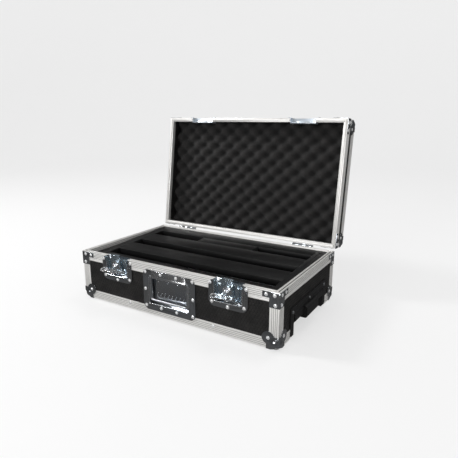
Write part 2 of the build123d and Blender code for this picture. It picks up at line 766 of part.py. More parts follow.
def tube_pair(start, stop, radius, bore):
    """Two parallel tubes along X."""
    with BuildPart() as pair:
        with BuildSketch(Plane.YZ.offset(start)):
            with Locations(*[(y, tube_height) for y in tube_ys]):
                Circle(radius)
                Circle(bore, mode=Mode.SUBTRACT)
        extrude(amount=stop - start)
    return pair


tube_stop = pocket_inner_x - pocket_wall
tube_start = tube_stop - tube_length
grip_start = end_face - grip_inner
rod_stop = grip_start + 8
stage_step = 6.0  # by which each stage starts inside the one around it
outer_tubes = tube_pair(tube_start, tube_stop, outer_tube_radius, mid_tube_radius + slide_gap)
finish(outer_tubes, "trolley_outer_tubes")
mid_tubes = tube_pair(tube_start + stage_step, pocket_inner_x, mid_tube_radius, rod_radius + slide_gap)
finish(mid_tubes, "trolley_mid_tubes")
rods = tube_pair(tube_start + 2 * stage_step, rod_stop, rod_radius, rod_radius - tube_wall)
finish(rods, "trolley_rods")

with BuildPart() as trolley_brackets:
    bracket_xs = (tube_start + 30, tube_stop - 60)
    bracket_top = tube_height + outer_tube_radius + 5
    with Locations(*[(x, y, (panel_back + bracket_top) / 2) for x in bracket_xs for y in tube_ys]):
        Box(20, 2 * outer_tube_radius + 14, bracket_top - panel_back)
    with BuildSketch(Plane.YZ.offset(tube_start)):
        with Locations(*[(y, tube_height) for y in tube_ys]):
            Circle(outer_tube_radius + fit_gap)
    extrude(amount=tube_length, mode=Mode.SUBTRACT)
finish(trolley_brackets, "trolley_brackets")

button_x = end_face + bulge_proud - 17
with BuildPart() as trolley_grip:
    with Locations((grip_start, 0, (grip_bottom + grip_top) / 2)):
        Box(
            grip_inner + grip_proud,
            grip_length,
            grip_top - grip_bottom,
            align=(Align.MIN, Align.CENTER, Align.CENTER),
        )
    fillet(edges().filter_by(Axis.Y), 5)
    bulge_depth = bulge_proud + grip_inner - 4
    with BuildSketch(Plane.XZ.offset(bulge_length / 2)):
        with Locations((end_face + bulge_proud - bulge_depth / 2, (bulge_bottom + grip_top) / 2)):
            RectangleRounded(bulge_depth, grip_top - bulge_bottom, 7)
    extrude(amount=-bulge_length)
    with BuildSketch(Plane.YZ.offset(grip_start - 10)):
        with Locations(*[(y, tube_height) for y in tube_ys]):
            Circle(rod_radius + 3.4)
    extrude(amount=14)
    with BuildSketch(Plane.YZ.offset(grip_start - 10)):
        with Locations(*[(y, tube_height) for y in tube_ys]):
            Circle(rod_radius + fit_gap)
    extrude(amount=10 + rod_stop - grip_start, mode=Mode.SUBTRACT)
    with Locations((button_x, 0, bulge_bottom)):
        pocket = 2 * (button_height + button_travel)
        Box(button_width + 1, button_length + 1, pocket, mode=Mode.SUBTRACT)
finish(trolley_grip, "trolley_grip")

with BuildPart() as trolley_button:
    with Locations((button_x, 0, bulge_bottom - 1.5 + button_height / 2)):
        Box(button_width, button_length, button_height)
    fillet(edges().filter_by(Axis.Z), 3)
finish(trolley_button, "trolley_button")

# ==== wheels ==============================================================================================
with BuildPart() as wheel_housings:
    for side in (-1, 1):
        y = side * wheel_y
        flange_top = well_top + pocket_wall + wheel_flange
        with Locations((-hx + panel_face - bezel_thickness / 2, y, (flange_top + bezel_bottom) / 2)):
            Box(bezel_thickness, 2 * (well_outer + wheel_flange), flange_top - bezel_bottom)
        well_length = well_inner_x + pocket_wall + hx - panel_face
        with Locations((-hx + panel_face + well_length / 2, y, (well_top + pocket_wall) / 2)):
            Box(well_length, 2 * well_outer, well_top + pocket_wall)
        with Locations((well_inner_x, y, well_top)):
            Box(
                well_length + 2 * overshoot,
                2 * well_half,
                2 * well_top,
                align=(Align.MAX, Align.CENTER, Align.MAX),
                mode=Mode.SUBTRACT,
            )
        with BuildSketch(Plane.XZ.offset(-(y - well_outer))):
            with Locations((wheel_x, wheel_z)):
                Circle(axle_radius + fit_gap)
        extrude(amount=-2 * well_outer, mode=Mode.SUBTRACT)
finish(wheel_housings, "wheel_housings")

with BuildPart() as wheel_axles:
    for side in (-1, 1):
        with BuildSketch(Plane.XZ.offset(-(side * wheel_y - well_outer))):
            with Locations((wheel_x, wheel_z)):
                Circle(axle_radius)
        extrude(amount=-2 * well_outer)
finish(wheel_axles, "wheel_axles")

for side, name in ((-1, "front"), (1, "rear")):
    with BuildPart() as wheel:
        hub = wheel_radius * 0.62
        with BuildSketch(Plane.XY.offset(wheel_z)) as section:
            with BuildLine():
                half = wheel_width / 2
                y = side * wheel_y
                bore = axle_radius + axle_running_gap
                Polyline(
                    (wheel_x + bore, y - half),
                    (wheel_x + bore + 4, y - half),
                    (wheel_x + bore + 5, y - half + 5),
                    (wheel_x + hub, y - half + 5),
                    (wheel_x + hub + 1, y - half),
                    (wheel_x + wheel_radius - 4, y - half),
                )
                ThreePointArc(
                    (wheel_x + wheel_radius - 4, y - half),
                    (wheel_x + wheel_radius, y),
                    (wheel_x + wheel_radius - 4, y + half),
                )
                Polyline(
                    (wheel_x + wheel_radius - 4, y + half),
                    (wheel_x + hub + 1, y + half),
                    (wheel_x + hub, y + half - 5),
                    (wheel_x + bore + 5, y + half - 5),
                    (wheel_x + bore + 4, y + half),
                    (wheel_x + bore, y + half),
                    (wheel_x + bore, y - half),
                )
            make_face()
        revolve(axis=Axis((wheel_x, 0, wheel_z), (0, 1, 0)))
    finish(wheel, f"wheel_{name}")

# ==== pedalboard ===========================================================================================
board_length = case_width - 2 * (rim_width + board_gap)
slat_length = board_length - 2 * rail_width
slot_ys = [slot_pitch * (i - (board_slots - 1) / 2) for i in range(board_slots)]
slot_edges = [-board_depth / 2] + [y + e * slot_width / 2 for y in slot_ys for e in (-1, 1)] + [board_depth / 2]
slat_spans = list(zip(slot_edges[0::2], slot_edges[1::2]))


def channel(length, start, stop):
    """Channel profile along X, open below, its top at Z 0, between two Y values."""
    with BuildPart() as profile:
        with BuildSketch(Plane.YZ.offset(-length / 2)):
            with Locations(((start + stop) / 2, -board_thickness / 2)):
                Rectangle(stop - start, board_thickness)
            with Locations(((start + stop) / 2, -board_thickness / 2 - board_wall)):
                Rectangle(stop - start - 2 * board_wall, board_thickness, mode=Mode.SUBTRACT)
        extrude(amount=length)
    return profile.part


with BuildPart() as board_slats:
    for start, stop in slat_spans:
        add(channel(slat_length, start, stop))
finish(board_slats, "board_slats", board_pose)

with BuildPart() as board_bridge:
    add(channel(bridge_length, slot_edges[-3], slot_edges[-2]))
finish(board_bridge, "board_bridge", board_pose)

screw_x = board_length / 2 - rail_width / 2
screw_spots = [(sx * screw_x, sy * (board_depth / 2 - 22)) for sx in (-1, 1) for sy in (-1, 1)]
rail_x = (board_length - rail_width) / 2
with BuildPart() as board_end_rails:
    with Locations((-rail_x, 0, -board_thickness / 2), (rail_x, 0, -board_thickness / 2)):
        Box(rail_width, board_depth, board_thickness)
        inner = (rail_width - 2 * board_wall, board_depth + overshoot, board_thickness - 2 * board_wall)
        Box(*inner, mode=Mode.SUBTRACT)
    with Locations(*[(x, y, 0) for x, y in screw_spots]):
        CounterSinkHole(board_screw_radius + fit_gap, board_screw_head + fit_gap, board_thickness)
finish(board_end_rails, "board_end_rails", board_pose)

batten_x = hx - panel_back - batten_width / 2
with BuildPart() as board_battens:
    with Locations(*[(side * batten_x, 0, -board_thickness - batten_height / 2) for side in (-1, 1)]):
        Box(batten_width, board_depth - 24, batten_height)
    with BuildSketch(Plane.XY.offset(-board_thickness)):
        with Locations(*screw_spots):
            Circle(board_screw_radius + fit_gap)
    extrude(amount=-20, mode=Mode.SUBTRACT)
finish(board_battens, "board_battens", board_pose)

with BuildPart() as board_screw:
    head_height = board_screw_head - board_screw_radius
    Cylinder(board_screw_radius, board_thickness + 18, align=(Align.CENTER, Align.CENTER, Align.MAX))
    with Locations((0, 0, -head_height)):
        Cone(
            board_screw_radius,
            board_screw_head,
            head_height,
            align=(Align.CENTER, Align.CENTER, Align.MIN),
        )
    with Locations((0, 0, 0)):
        Box(1.2, 7, 2.4, mode=Mode.SUBTRACT)
        Box(7, 1.2, 2.4, mode=Mode.SUBTRACT)
with BuildPart() as board_screws:
    with Locations(*[(x, y, 0) for x, y in screw_spots]):
        add(board_screw.part)
finish(board_screws, "board_screws", board_pose)

# ==== lid =================================================================================================
lid_wall = lid_height - rim_web - panel_back
lid_wall_middle = lid_plane + rim_web + lid_wall / 2
with BuildPart() as lid_top_panel:
    with Locations((0, 0, lid_top - angle_thickness - panel_thickness / 2)):
        Box(case_width - 2 * panel_face, case_depth - 2 * panel_face, panel_thickness)
finish(lid_top_panel, "lid_top_panel", lid_pose)

with BuildPart() as lid_front_panel:
    with Locations((0, -hy + panel_face + panel_thickness / 2, lid_wall_middle)):
        Box(case_width - 2 * panel_face, panel_thickness, lid_wall)
    with Locations(*[(side * latch_x, -hy, lid_plane) for side in (-1, 1)]):
        lid_cut_height = latch_opening_rise + sheet + joint_gap
        Box(latch_cut_width, 4 * panel_thickness, 2 * lid_cut_height, mode=Mode.SUBTRACT)
finish(lid_front_panel, "lid_front_panel", lid_pose)

with BuildPart() as lid_back_panel:
    with Locations((0, hy - panel_face - panel_thickness / 2, lid_wall_middle)):
        Box(case_width - 2 * panel_face, panel_thickness, lid_wall)
finish(lid_back_panel, "lid_back_panel", lid_pose)

with BuildPart() as lid_end_panels:
    with Locations(*[(s * (hx - panel_face - panel_thickness / 2), 0, lid_wall_middle) for s in (-1, 1)]):
        Box(panel_thickness, end_panel_depth, lid_wall)
finish(lid_end_panels, "lid_end_panels", lid_pose)

flip = Location((0, 0, 0), (0, 180, 0))
with BuildPart() as lid_rim_front:
    with Locations(side_place("front", 0, lid_plane) * flip):
        add(rim_bar(case_width, True, (-latch_x, latch_x)))
finish(lid_rim_front, "lid_rim_front", lid_pose)

with BuildPart() as lid_rim_back:
    with Locations(side_place("back", 0, lid_plane) * flip):
        add(rim_bar(case_width, True))
finish(lid_rim_back, "lid_rim_back", lid_pose)

with BuildPart() as lid_rim_ends:
    with Locations(side_place("left", 0, lid_plane) * flip, side_place("right", 0, lid_plane) * flip):
        add(rim_bar(case_depth, True))
finish(lid_rim_ends, "lid_rim_ends", lid_pose)

with BuildPart() as lid_angles:
    with Locations(*corner_places(lid_plane + rim_leg)):
        add(upright_angle(lid_height - rim_leg))
    with Locations(side_place("front", 0, lid_top) * flip, side_place("back", 0, lid_top) * flip):
        add(angle_bar(long_run - 2 * joint_gap))
    with Locations(side_place("left", 0, lid_top) * flip, side_place("right", 0, lid_top) * flip):
        add(angle_bar(case_depth - 2 * (angle_leg + joint_gap)))
finish(lid_angles, "lid_angles", lid_pose)

with BuildPart() as lid_foam:
    foam_bottom = lid_plane + foam_depth
    foam_top = lid_top - panel_back - foam_clearance / 2
    with Locations((0, 0, (foam_bottom + foam_top) / 2)):
        Box(
            case_width - 2 * panel_back - 2 * foam_clearance,
            case_depth - 2 * panel_back - 2 * foam_clearance,
            foam_top - foam_bottom,
        )
finish(lid_foam, "lid_foam", lid_pose)

# ==== hinges ==============================================================================================
hinge_y = hy + hinge_offset
knuckle_gap = 0.3
middle_half = 12.5
leaf_rivet_spots = [(x, 15.0) for x in (-25, 0, 25)]


def hinge_leaf(up, spans):
    """One leaf on the back face, above (up 1) or below (up -1) the pin, with its knuckles."""
    half_gap = 0.6 * closing_gap + 0.1
    leaf_start = hinge_knuckle_radius + knuckle_gap
    with BuildPart() as leaf:
        for side in (-1, 1):
            mid = side * hinge_x
            leaf_middle = base_height + up * (leaf_start + hinge_leaf_height / 2)
            with Locations((mid, hy + angle_thickness / 2, leaf_middle)):
                Box(hinge_width, angle_thickness, hinge_leaf_height)
            for start, stop in spans:
                with BuildSketch(Plane.YZ.offset(mid + start)):
                    with Locations((hinge_y, base_height)):
                        Circle(hinge_knuckle_radius)
                    with Locations((hy, base_height + up * half_gap)):
                        root = (Align.MIN, Align.MIN if up > 0 else Align.MAX)
                        Rectangle(angle_thickness, leaf_start - half_gap, align=root)
                        Rectangle(hinge_offset, hinge_knuckle_radius - half_gap, align=root)
                extrude(amount=stop - start)
            with BuildSketch(Plane.YZ.offset(mid - hinge_width / 2)):
                with Locations((hinge_y, base_height)):
                    Circle(hinge_pin_radius + fit_gap)
            extrude(amount=hinge_width, mode=Mode.SUBTRACT)
            for u, v in leaf_rivet_spots:
                with BuildSketch(Plane.XZ.offset(-hy)):
                    with Locations((mid + u, base_height + up * v)):
                        Circle(rivet_shank_radius + fit_gap)
                extrude(amount=-angle_thickness, mode=Mode.SUBTRACT)
    return leaf


outer_spans = [(-hinge_width / 2, -middle_half - knuckle_gap), (middle_half + knuckle_gap, hinge_width / 2)]
base_leaves = hinge_leaf(-1, outer_spans)
finish(base_leaves, "hinge_base_leaves")
lid_leaves = hinge_leaf(1, [(-middle_half, middle_half)])
finish(lid_leaves, "hinge_lid_leaves", lid_pose)

with BuildPart() as hinge_pins:
    for side in (-1, 1):
        with BuildSketch(Plane.YZ.offset(side * hinge_x - hinge_width / 2)):
            with Locations((hinge_y, base_height)):
                Circle(hinge_pin_radius)
        extrude(amount=hinge_width)
finish(hinge_pins, "hinge_pins")

# ==== rivets ==============================================================================================
with BuildPart() as rivet:
    with BuildSketch(Plane.XZ):
        with BuildLine():
            Polyline(
                (0, rivet_head_height),
                (0, -sheet),
                (rivet_shank_radius, -sheet),
                (rivet_shank_radius, 0),
                (rivet_head_radius, 0),
                (rivet_head_radius * 0.85, rivet_head_height * 0.5),
                (rivet_head_radius * 0.45, rivet_head_height),
                close=True,
            )
        make_face()
    revolve(axis=Axis.Z)


def all_corners(planes, flip_height=None):
    """The same places at all four corners, and turned over about a height for the lid."""
    places = []
    for place in planes:
        (x, y, z), (nx, ny, nz) = tuple(place.origin), tuple(place.z_dir)
        if flip_height is not None:
            z, nz = 2 * flip_height - z, -nz
        for sx, sy in ((1, 1), (-1, 1), (1, -1), (-1, -1)):
            places.append(Location(Plane(origin=(sx * x, sy * y, z), z_dir=(sx * nx, sy * ny, nz))))
    return places


def front_rivets(spots, mid, height):
    """Places of rivets on a front plate, from spots about its middle and a height."""
    return [Location(Plane(origin=(mid + u, plate_front, height + v), z_dir=(0, -1, 0))) for u, v in spots]


def leaf_rivets(up):
    """Places of the hinge leaves' rivets."""
    face = hy + angle_thickness
    return [
        Location(Plane(origin=(side * hinge_x + u, face, base_height + up * v), z_dir=(0, 1, 0)))
        for side in (-1, 1)
        for u, v in leaf_rivet_spots
    ]


with BuildPart() as base_rivets:
    with Locations(
        *all_corners(rivet_places_on_corner()),
        *all_corners(brace_rivets(brace_drop)),
        *front_rivets(latch_rivet_spots, -latch_x, base_height),
        *front_rivets(latch_rivet_spots, latch_x, base_height),
        *front_rivets(handle_rivet_spots, 0, 0),
        *leaf_rivets(-1),
    ):
        add(rivet.part)
finish(base_rivets, "base_rivets")

with BuildPart() as lid_rivets:
    with Locations(
        *all_corners(rivet_places_on_corner(), lid_top / 2),
        *all_corners(brace_rivets(lid_brace_drop), base_height + closing_gap / 2),
        *front_rivets(lid_rivet_spots, -latch_x, lid_plane),
        *front_rivets(lid_rivet_spots, latch_x, lid_plane),
        *leaf_rivets(1),
    ):
        add(rivet.part)
finish(lid_rivets, "lid_rivets", lid_pose)

# ==== writing =============================================================================================
placed = [part.moved(pose) for part, pose in finished]
boxes = [part.bounding_box() for part in placed]
low = [min(tuple(box.min)[i] for box in boxes) for i in range(3)]
high = [max(tuple(box.max)[i] for box in boxes) for i in range(3)]
origin_shift = Location((-(low[0] + high[0]) / 2, -(low[1] + high[1]) / 2, -low[2]))
for (part, pose), there in zip(finished, placed):
    written = there.moved(origin_shift)
    written.label = part.label
    export_step(written, f"parts/{part.label}.step")
print("shift", [round(v, 3) for v in tuple(origin_shift.position)], "nodes", len(finished))
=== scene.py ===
import json
import math

import bmesh
import bpy
from mathutils import Matrix, Vector


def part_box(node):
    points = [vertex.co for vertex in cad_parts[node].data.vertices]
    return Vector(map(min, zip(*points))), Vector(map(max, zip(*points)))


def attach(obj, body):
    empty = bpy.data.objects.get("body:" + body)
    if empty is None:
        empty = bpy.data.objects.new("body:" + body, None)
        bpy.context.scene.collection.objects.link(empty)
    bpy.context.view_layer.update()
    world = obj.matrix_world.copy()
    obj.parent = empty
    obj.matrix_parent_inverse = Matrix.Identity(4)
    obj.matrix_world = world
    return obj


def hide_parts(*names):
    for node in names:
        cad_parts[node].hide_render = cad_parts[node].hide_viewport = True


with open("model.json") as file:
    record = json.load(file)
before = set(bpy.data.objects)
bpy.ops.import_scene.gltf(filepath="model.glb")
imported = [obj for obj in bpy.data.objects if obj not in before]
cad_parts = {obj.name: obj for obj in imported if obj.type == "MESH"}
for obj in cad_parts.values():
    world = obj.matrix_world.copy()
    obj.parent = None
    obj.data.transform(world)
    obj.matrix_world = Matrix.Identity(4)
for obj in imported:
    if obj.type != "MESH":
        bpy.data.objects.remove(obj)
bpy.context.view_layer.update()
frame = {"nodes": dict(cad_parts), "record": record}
nodes = frame["nodes"]

# The case's own millimetres, drawn as in the CAD: lid closed, latches upright, X right, Y back, Z up.
case = {
    "halfX": 320.0, "halfY": 189.0, "height": 144.0, "gap": 0.4, "lidHeight": 72.0, "lidOpen": 98.0,
    "hingeOffset": 5.5, "pivotY": -180.0, "pivotZ": 97.0, "boardSlope": 2.4,
    "boardTop": 134.55, "sheet": 1.2, "panelIn": 1.5, "latchX": 183.0, "hingeX": 218.0,
}
hx, hy = case["halfX"], case["halfY"]
lidPlane = case["height"] + case["gap"]
lidTop = lidPlane + case["lidHeight"]
latchX = case["latchX"]
frontSheet = -case["halfY"] - case["sheet"]
panelLow = Vector((-case["halfX"], -case["halfY"], 0)) + Vector((1, 1, 1)) * case["panelIn"]
toRow = Matrix.Translation(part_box("base_bottom_panel")[0] - panelLow / 1000) @ Matrix.Scale(0.001, 4)


def turnedAboutX(degrees, y, z):
    middle = Matrix.Translation((0, y, z))
    return middle @ Matrix.Rotation(math.radians(degrees), 4, "X") @ middle.inverted()


basePose = toRow
lidPose = toRow @ turnedAboutX(-case["lidOpen"], case["halfY"] + case["hingeOffset"], case["height"])
boardPose = (
    toRow @ Matrix.Translation((0, 0, case["boardTop"]))
    @ Matrix.Rotation(math.radians(case["boardSlope"]), 4, "X")
)


class Wire:
    # One output socket. Sums with it add Math nodes.
    def __init__(self, graph, socket):
        self.graph, self.socket = graph, socket

    def maths(self, operation, first, second=0.0):
        return self.graph.node("ShaderNodeMath", {"operation": operation}, {0: first, 1: second})

    def __add__(self, other): return self.maths("ADD", self, other)
    def __radd__(self, other): return self.maths("ADD", other, self)
    def __sub__(self, other): return self.maths("SUBTRACT", self, other)
    def __rsub__(self, other): return self.maths("SUBTRACT", other, self)
    def __mul__(self, other): return self.maths("MULTIPLY", self, other)
    def __rmul__(self, other): return self.maths("MULTIPLY", other, self)
    def __truediv__(self, other): return self.maths("DIVIDE", self, other)
    def __pow__(self, other): return self.maths("POWER", self, other)
    def __mod__(self, other): return self.maths("FLOORED_MODULO", self, other)
    def __gt__(self, other): return self.maths("GREATER_THAN", self, other)
    def __abs__(self): return self.maths("ABSOLUTE", self)

    def least(self, other): return self.maths("MINIMUM", self, other)
    def most(self, other): return self.maths("MAXIMUM", self, other)
    def cosine(self): return self.maths("COSINE", self)
    def out(self, name): return Wire(self.graph, self.socket.node.outputs[name])


class Graph:
    # Adds nodes to one tree: a type, its settings, then the values or wires of its sockets.
    def __init__(self, tree):
        self.tree = tree

    def node(self, kind, settings=None, inputs=None, output=0):
        made = self.tree.nodes.new(kind)
        for key, value in (settings or {}).items():
            if key == "stops":
                ramp = made.color_ramp
                ends = (ramp.elements[0], value[0]), (ramp.elements[-1], value[-1])
                for element, (position, shade) in ends:
                    element.position, element.color = position, (shade, shade, shade, 1)
                for position, shade in value[1:-1]:
                    ramp.elements.new(position).color = (shade, shade, shade, 1)
            else:
                setattr(made, key, value)
        for key, value in (inputs or {}).items():
            if isinstance(value, Wire):
                self.tree.links.new(value.socket, made.inputs[key])
            else:
                made.inputs[key].default_value = value
        return Wire(self, made.outputs[output]) if len(made.outputs) else None

    def mix(self, factor, first, second):
        return self.node("ShaderNodeMix", {"data_type": "RGBA"}, {0: factor, 6: first, 7: second}, 2)

    def noise(self, coords, scale, detail=3.0, rough=0.55):
        return self.node("ShaderNodeTexNoise", {}, {"Vector": coords, "Scale": scale, "Detail": detail,
                                                    "Roughness": rough})

    def ramp(self, factor, stops):
        return self.node("ShaderNodeValToRGB", {"stops": stops}, {"Fac": factor})

    def scaled(self, coords, scale):
        return self.node("ShaderNodeVectorMath", {"operation": "MULTIPLY"}, {0: coords, 1: scale})

    def split(self, coords):
        first = self.node("ShaderNodeSeparateXYZ", {}, {0: coords})
        return first, first.out("Y"), first.out("Z")

    def bump(self, height, distance, strength=1.0, below=None):
        sockets = {"Height": height, "Distance": distance, "Strength": strength}
        if below is not None:
            sockets["Normal"] = below
        return self.node("ShaderNodeBump", {}, sockets)


def grey(value, tint=(1, 1, 1)):
    return tuple(value * t for t in tint) + (1,)


def finishMaterial(name, pattern, turn=(0, 0, 0), pose=basePose, **fixed):
    # pattern(graph, coords) gives the shader's varying sockets; fixed are its constants.
    # graph.drawn is the same place in the case's own millimetres.
    material = bpy.data.materials.new(name)
    material.use_nodes = True
    material.node_tree.nodes.clear()
    graph = Graph(material.node_tree)
    coords = graph.node("ShaderNodeTexCoord", output="Object")
    place, rotation, scale = pose.inverted().decompose()
    graph.drawn = graph.node("ShaderNodeMapping", {}, {
        "Vector": coords, "Location": place, "Rotation": rotation.to_euler(), "Scale": scale})
    if any(turn):
        coords = graph.node("ShaderNodeMapping", {}, {"Vector": coords, "Rotation": turn})
    sockets = {key.replace("_", " "): value for key, value in fixed.items()}
    sockets.update(pattern(graph, coords))
    shader = graph.node("ShaderNodeBsdfPrincipled", {}, sockets)
    graph.node("ShaderNodeOutputMaterial", {}, {"Surface": shader})
    return material


# ---- materials ----
laminate = {"cell": 0.0085, "line": 0.15, "dark": 0.001, "light": 0.0165, "relief": 0.0008,
            "shift": 400.0}


def laminatePattern(first, second):
    def pattern(g, coords):
        axes = g.split(g.scaled(coords, (1 / laminate["cell"],) * 3))
        u, v = axes[first] + laminate["shift"], axes[second] + laminate["shift"]
        tall = math.sqrt(3)

        def cellDistance(shift):
            x = abs((u + shift) % 1.0 - 0.5)
            y = abs((v + shift * tall) % tall - tall / 2)
            return x.most(x * 0.5 + y * (tall / 2))

        edge = cellDistance(0.0).least(cellDistance(0.5))
        groove = g.ramp(edge, [(0.5 - laminate["line"], 0.0), (0.5 - laminate["line"] * 0.3, 1.0)])
        cloud = g.noise(coords, 30.0, 4.0)
        rub = g.ramp(g.noise(coords, 9.0, 6.0), [(0.45, 0.0), (0.75, 1.0)])
        # Painted sheen and shade of the hex emboss: faces lighter in noise patches and grooves darker, over
        # the film's own near-black tone.
        sheenPatches = g.ramp(g.noise(coords, 45.0, 5.0, 0.65), [(0.36, 0.15), (0.62, 1.0)])
        face = g.mix(sheenPatches, grey(laminate["dark"] * 3), grey(laminate["light"], (1.08, 1, 0.95)))
        colour = g.mix(groove * 0.9, face, grey(laminate["dark"]))
        colour = g.mix(rub * 0.2, colour, grey(0.022))
        fine = g.bump(g.noise(coords, 900.0, 2.0), 0.0001, 0.35)
        return {"Base Color": colour, "Roughness": 0.30 + cloud * 0.2 + groove * 0.25,
                "Normal": g.bump(1.0 - groove, laminate["relief"], 0.8, fine)}
    return pattern


ribs = {"pitch": 4.6, "angleStart": 1.1, "rimStart": 0.75, "half": 0.17, "count": 4.7,
        "from": 0.4, "edge": 14.0}


# Painted shade in the grooves of a ribbed profile; each way is (axis, sign, offset, first groove).
# A sign of None counts inwards from both sides.
def grooveMask(g, ways):
    mask = None
    axes = g.split(g.drawn)
    for axis, sign, offset, first in ways:
        inward = offset - abs(axes[axis]) if sign is None else axes[axis] * sign + offset
        turns = inward / ribs["pitch"]
        line = ribs["half"] - abs((turns - first + 0.5) % 1.0 - 0.5)
        line = (line * ribs["edge"]).least(1.0).most(0.0)
        line = line * (turns > ribs["from"]) * (ribs["count"] - turns > 0.0)
        mask = line if mask is None else mask.most(line)
    return mask


def ribbed(base, rough, stretch, tint, ways):
    metal = drawnMetal(base, rough, stretch, tint)

    def pattern(g, coords):
        sockets = metal(g, coords)
        groove = grooveMask(g, ways)
        # Painted shade: the grooves are painted darker than the ribs.
        sockets["Base Color"] = g.mix(groove * 0.8, sockets["Base Color"], grey(base * 0.2, tint))
        sockets["Roughness"] = sockets["Roughness"] + groove * 0.2
        return sockets
    return pattern


# Grain of drawn or rolled metal, drawn out along one axis.
def drawnMetal(base, rough, stretch, tint=(1, 1, 1), wear=0.12, streak=0.0001):
    def pattern(g, coords):
        lines = g.noise(g.scaled(coords, stretch), 1.0, 4.0, 0.6)
        cloud = g.noise(coords, 14.0, 5.0)
        scuffs = g.ramp(g.noise(coords, 60.0, 6.0, 0.7), [(0.56, 0.0), (0.72, 1.0)])
        colour = g.mix(lines, grey(base * 0.9, tint), grey(base * 1.08, tint))
        colour = g.mix(scuffs * wear, colour, grey(base * 0.55, tint))
        return {"Base Color": colour, "Roughness": rough + lines * 0.12 + cloud * 0.08 + scuffs * wear,
                "Normal": g.bump(lines, streak, 0.6)}
    return pattern


# Plated pressings: soft smudges, a little orange peel and dulled patches.
def plated(base, rough, tint, blush):
    def pattern(g, coords):
        smudge = g.noise(coords, 28.0, 5.0, 0.6)
        blushes = g.ramp(g.noise(coords, 16.0, 3.0), [(0.40, 0.0), (0.66, 1.0)])
        pits = g.ramp(g.noise(coords, 420.0, 2.0), [(0.62, 0.0), (0.8, 1.0)])
        colour = g.mix(blushes, grey(base, tint), grey(base * 1.05, blush))
        colour = g.mix(pits * 0.3, colour, grey(base * 0.5, tint))
        return {"Base Color": colour, "Roughness": rough + smudge * 0.14 + pits * 0.1,
                "Normal": g.bump(g.noise(coords, 130.0, 2.0), 0.00025, 0.35)}
    return pattern


# Painted or moulded black: fine grain and rubbed high spots.
def blackGrain(base, rough, grain, relief, stretch=(1, 1, 1), rubbed=0.012, tint=(1, 1, 1.04)):
    def pattern(g, coords):
        along = g.scaled(coords, stretch)
        fine = g.noise(along, grain, 3.0, 0.6)
        cloud = g.noise(coords, 12.0, 5.0)
        rub = g.ramp(g.noise(g.scaled(coords, stretch), grain * 0.12, 5.0), [(0.5, 0.0), (0.8, 1.0)])
        colour = g.mix(fine, grey(base * 0.7, tint), grey(base * 1.35, tint))
        colour = g.mix(rub * 0.5, colour, grey(base + rubbed, tint))
        return {"Base Color": colour, "Roughness": rough + cloud * 0.16 + fine * 0.08,
                "Normal": g.bump(fine, relief, 0.6)}
    return pattern


slatLines = {"edges": (-171.5, -123.0, -87.0, -18.0, 18.0, 87.0, 123.0, 171.5),
             "grooves": 8.7, "half": 0.45}


# Black slats with painted highlights: light lines on the slat edges and fine light streaks along the slats,
# shown in noise patches.
def slatPattern(base, rough):
    metal = blackGrain(base, rough, 1.0, 0.00012, (6, 700, 700))

    def pattern(g, coords):
        sockets = metal(g, coords)
        x, y, z = g.split(g.drawn)
        across = (y + 400.0) / slatLines["grooves"]
        fine = ((0.08 - abs(across % 1.0 - 0.5)) * 30.0).least(1.0).most(0.0)
        glintPatches = g.ramp(g.noise(g.scaled(coords, (9.0, 60.0, 60.0)), 1.0, 4.0), [(0.42, 0.0), (0.62, 1.0)])
        edge = None
        for at in slatLines["edges"]:
            line = slatLines["half"] - abs(y - at) > 0.0
            edge = line if edge is None else edge.most(line)
        # Painted highlights: the fine streaks and the edge lines are painted lighter than the black.
        colour = g.mix(fine * glintPatches * 0.5, sockets["Base Color"], grey(0.035))
        sockets["Base Color"] = g.mix(edge * 0.7, colour, grey(0.06))
        return sockets
    return pattern


# Painted shade in the pits of the foam: where the crests are, and how far below them it is darkest.
foamShade = {"crest": 33.0, "deep": 11.0}


def foamPattern(g, coords):
    depth = ((g.split(g.drawn)[2] - lidPlane - foamShade["crest"]) / foamShade["deep"]).least(1.0).most(0.0)
    cells = g.node("ShaderNodeTexVoronoi", {}, {"Vector": coords, "Scale": 900.0})
    cloud = g.noise(coords, 22.0, 5.0)
    colour = g.mix(cells * 1.4, grey(0.006, (1, 0.90, 0.88)), grey(0.020, (1, 0.90, 0.88)))
    colour = g.mix(cloud * 0.5, colour, grey(0.008, (1, 0.90, 0.88)))
    # Painted shade: the pits are painted darker the deeper they lie below the crests.
    colour = g.mix(depth * 0.85, colour, grey(0.0006))
    return {"Base Color": colour, "Roughness": 0.88 + cloud * 0.1,
            "Normal": g.bump(cells, 0.0006, 0.9)}


def woodPattern(g, coords):
    rings = g.noise(g.scaled(coords, (120.0, 6.0, 120.0)), 1.0, 5.0, 0.6)
    pores = g.noise(g.scaled(coords, (900.0, 30.0, 900.0)), 1.0, 2.0)
    colour = g.mix(rings, grey(0.02, (1, 0.9, 0.8)), grey(0.06, (1, 0.88, 0.75)))
    return {"Base Color": colour, "Roughness": 0.55 + rings * 0.2, "Normal": g.bump(pores, 0.0003, 0.6)}


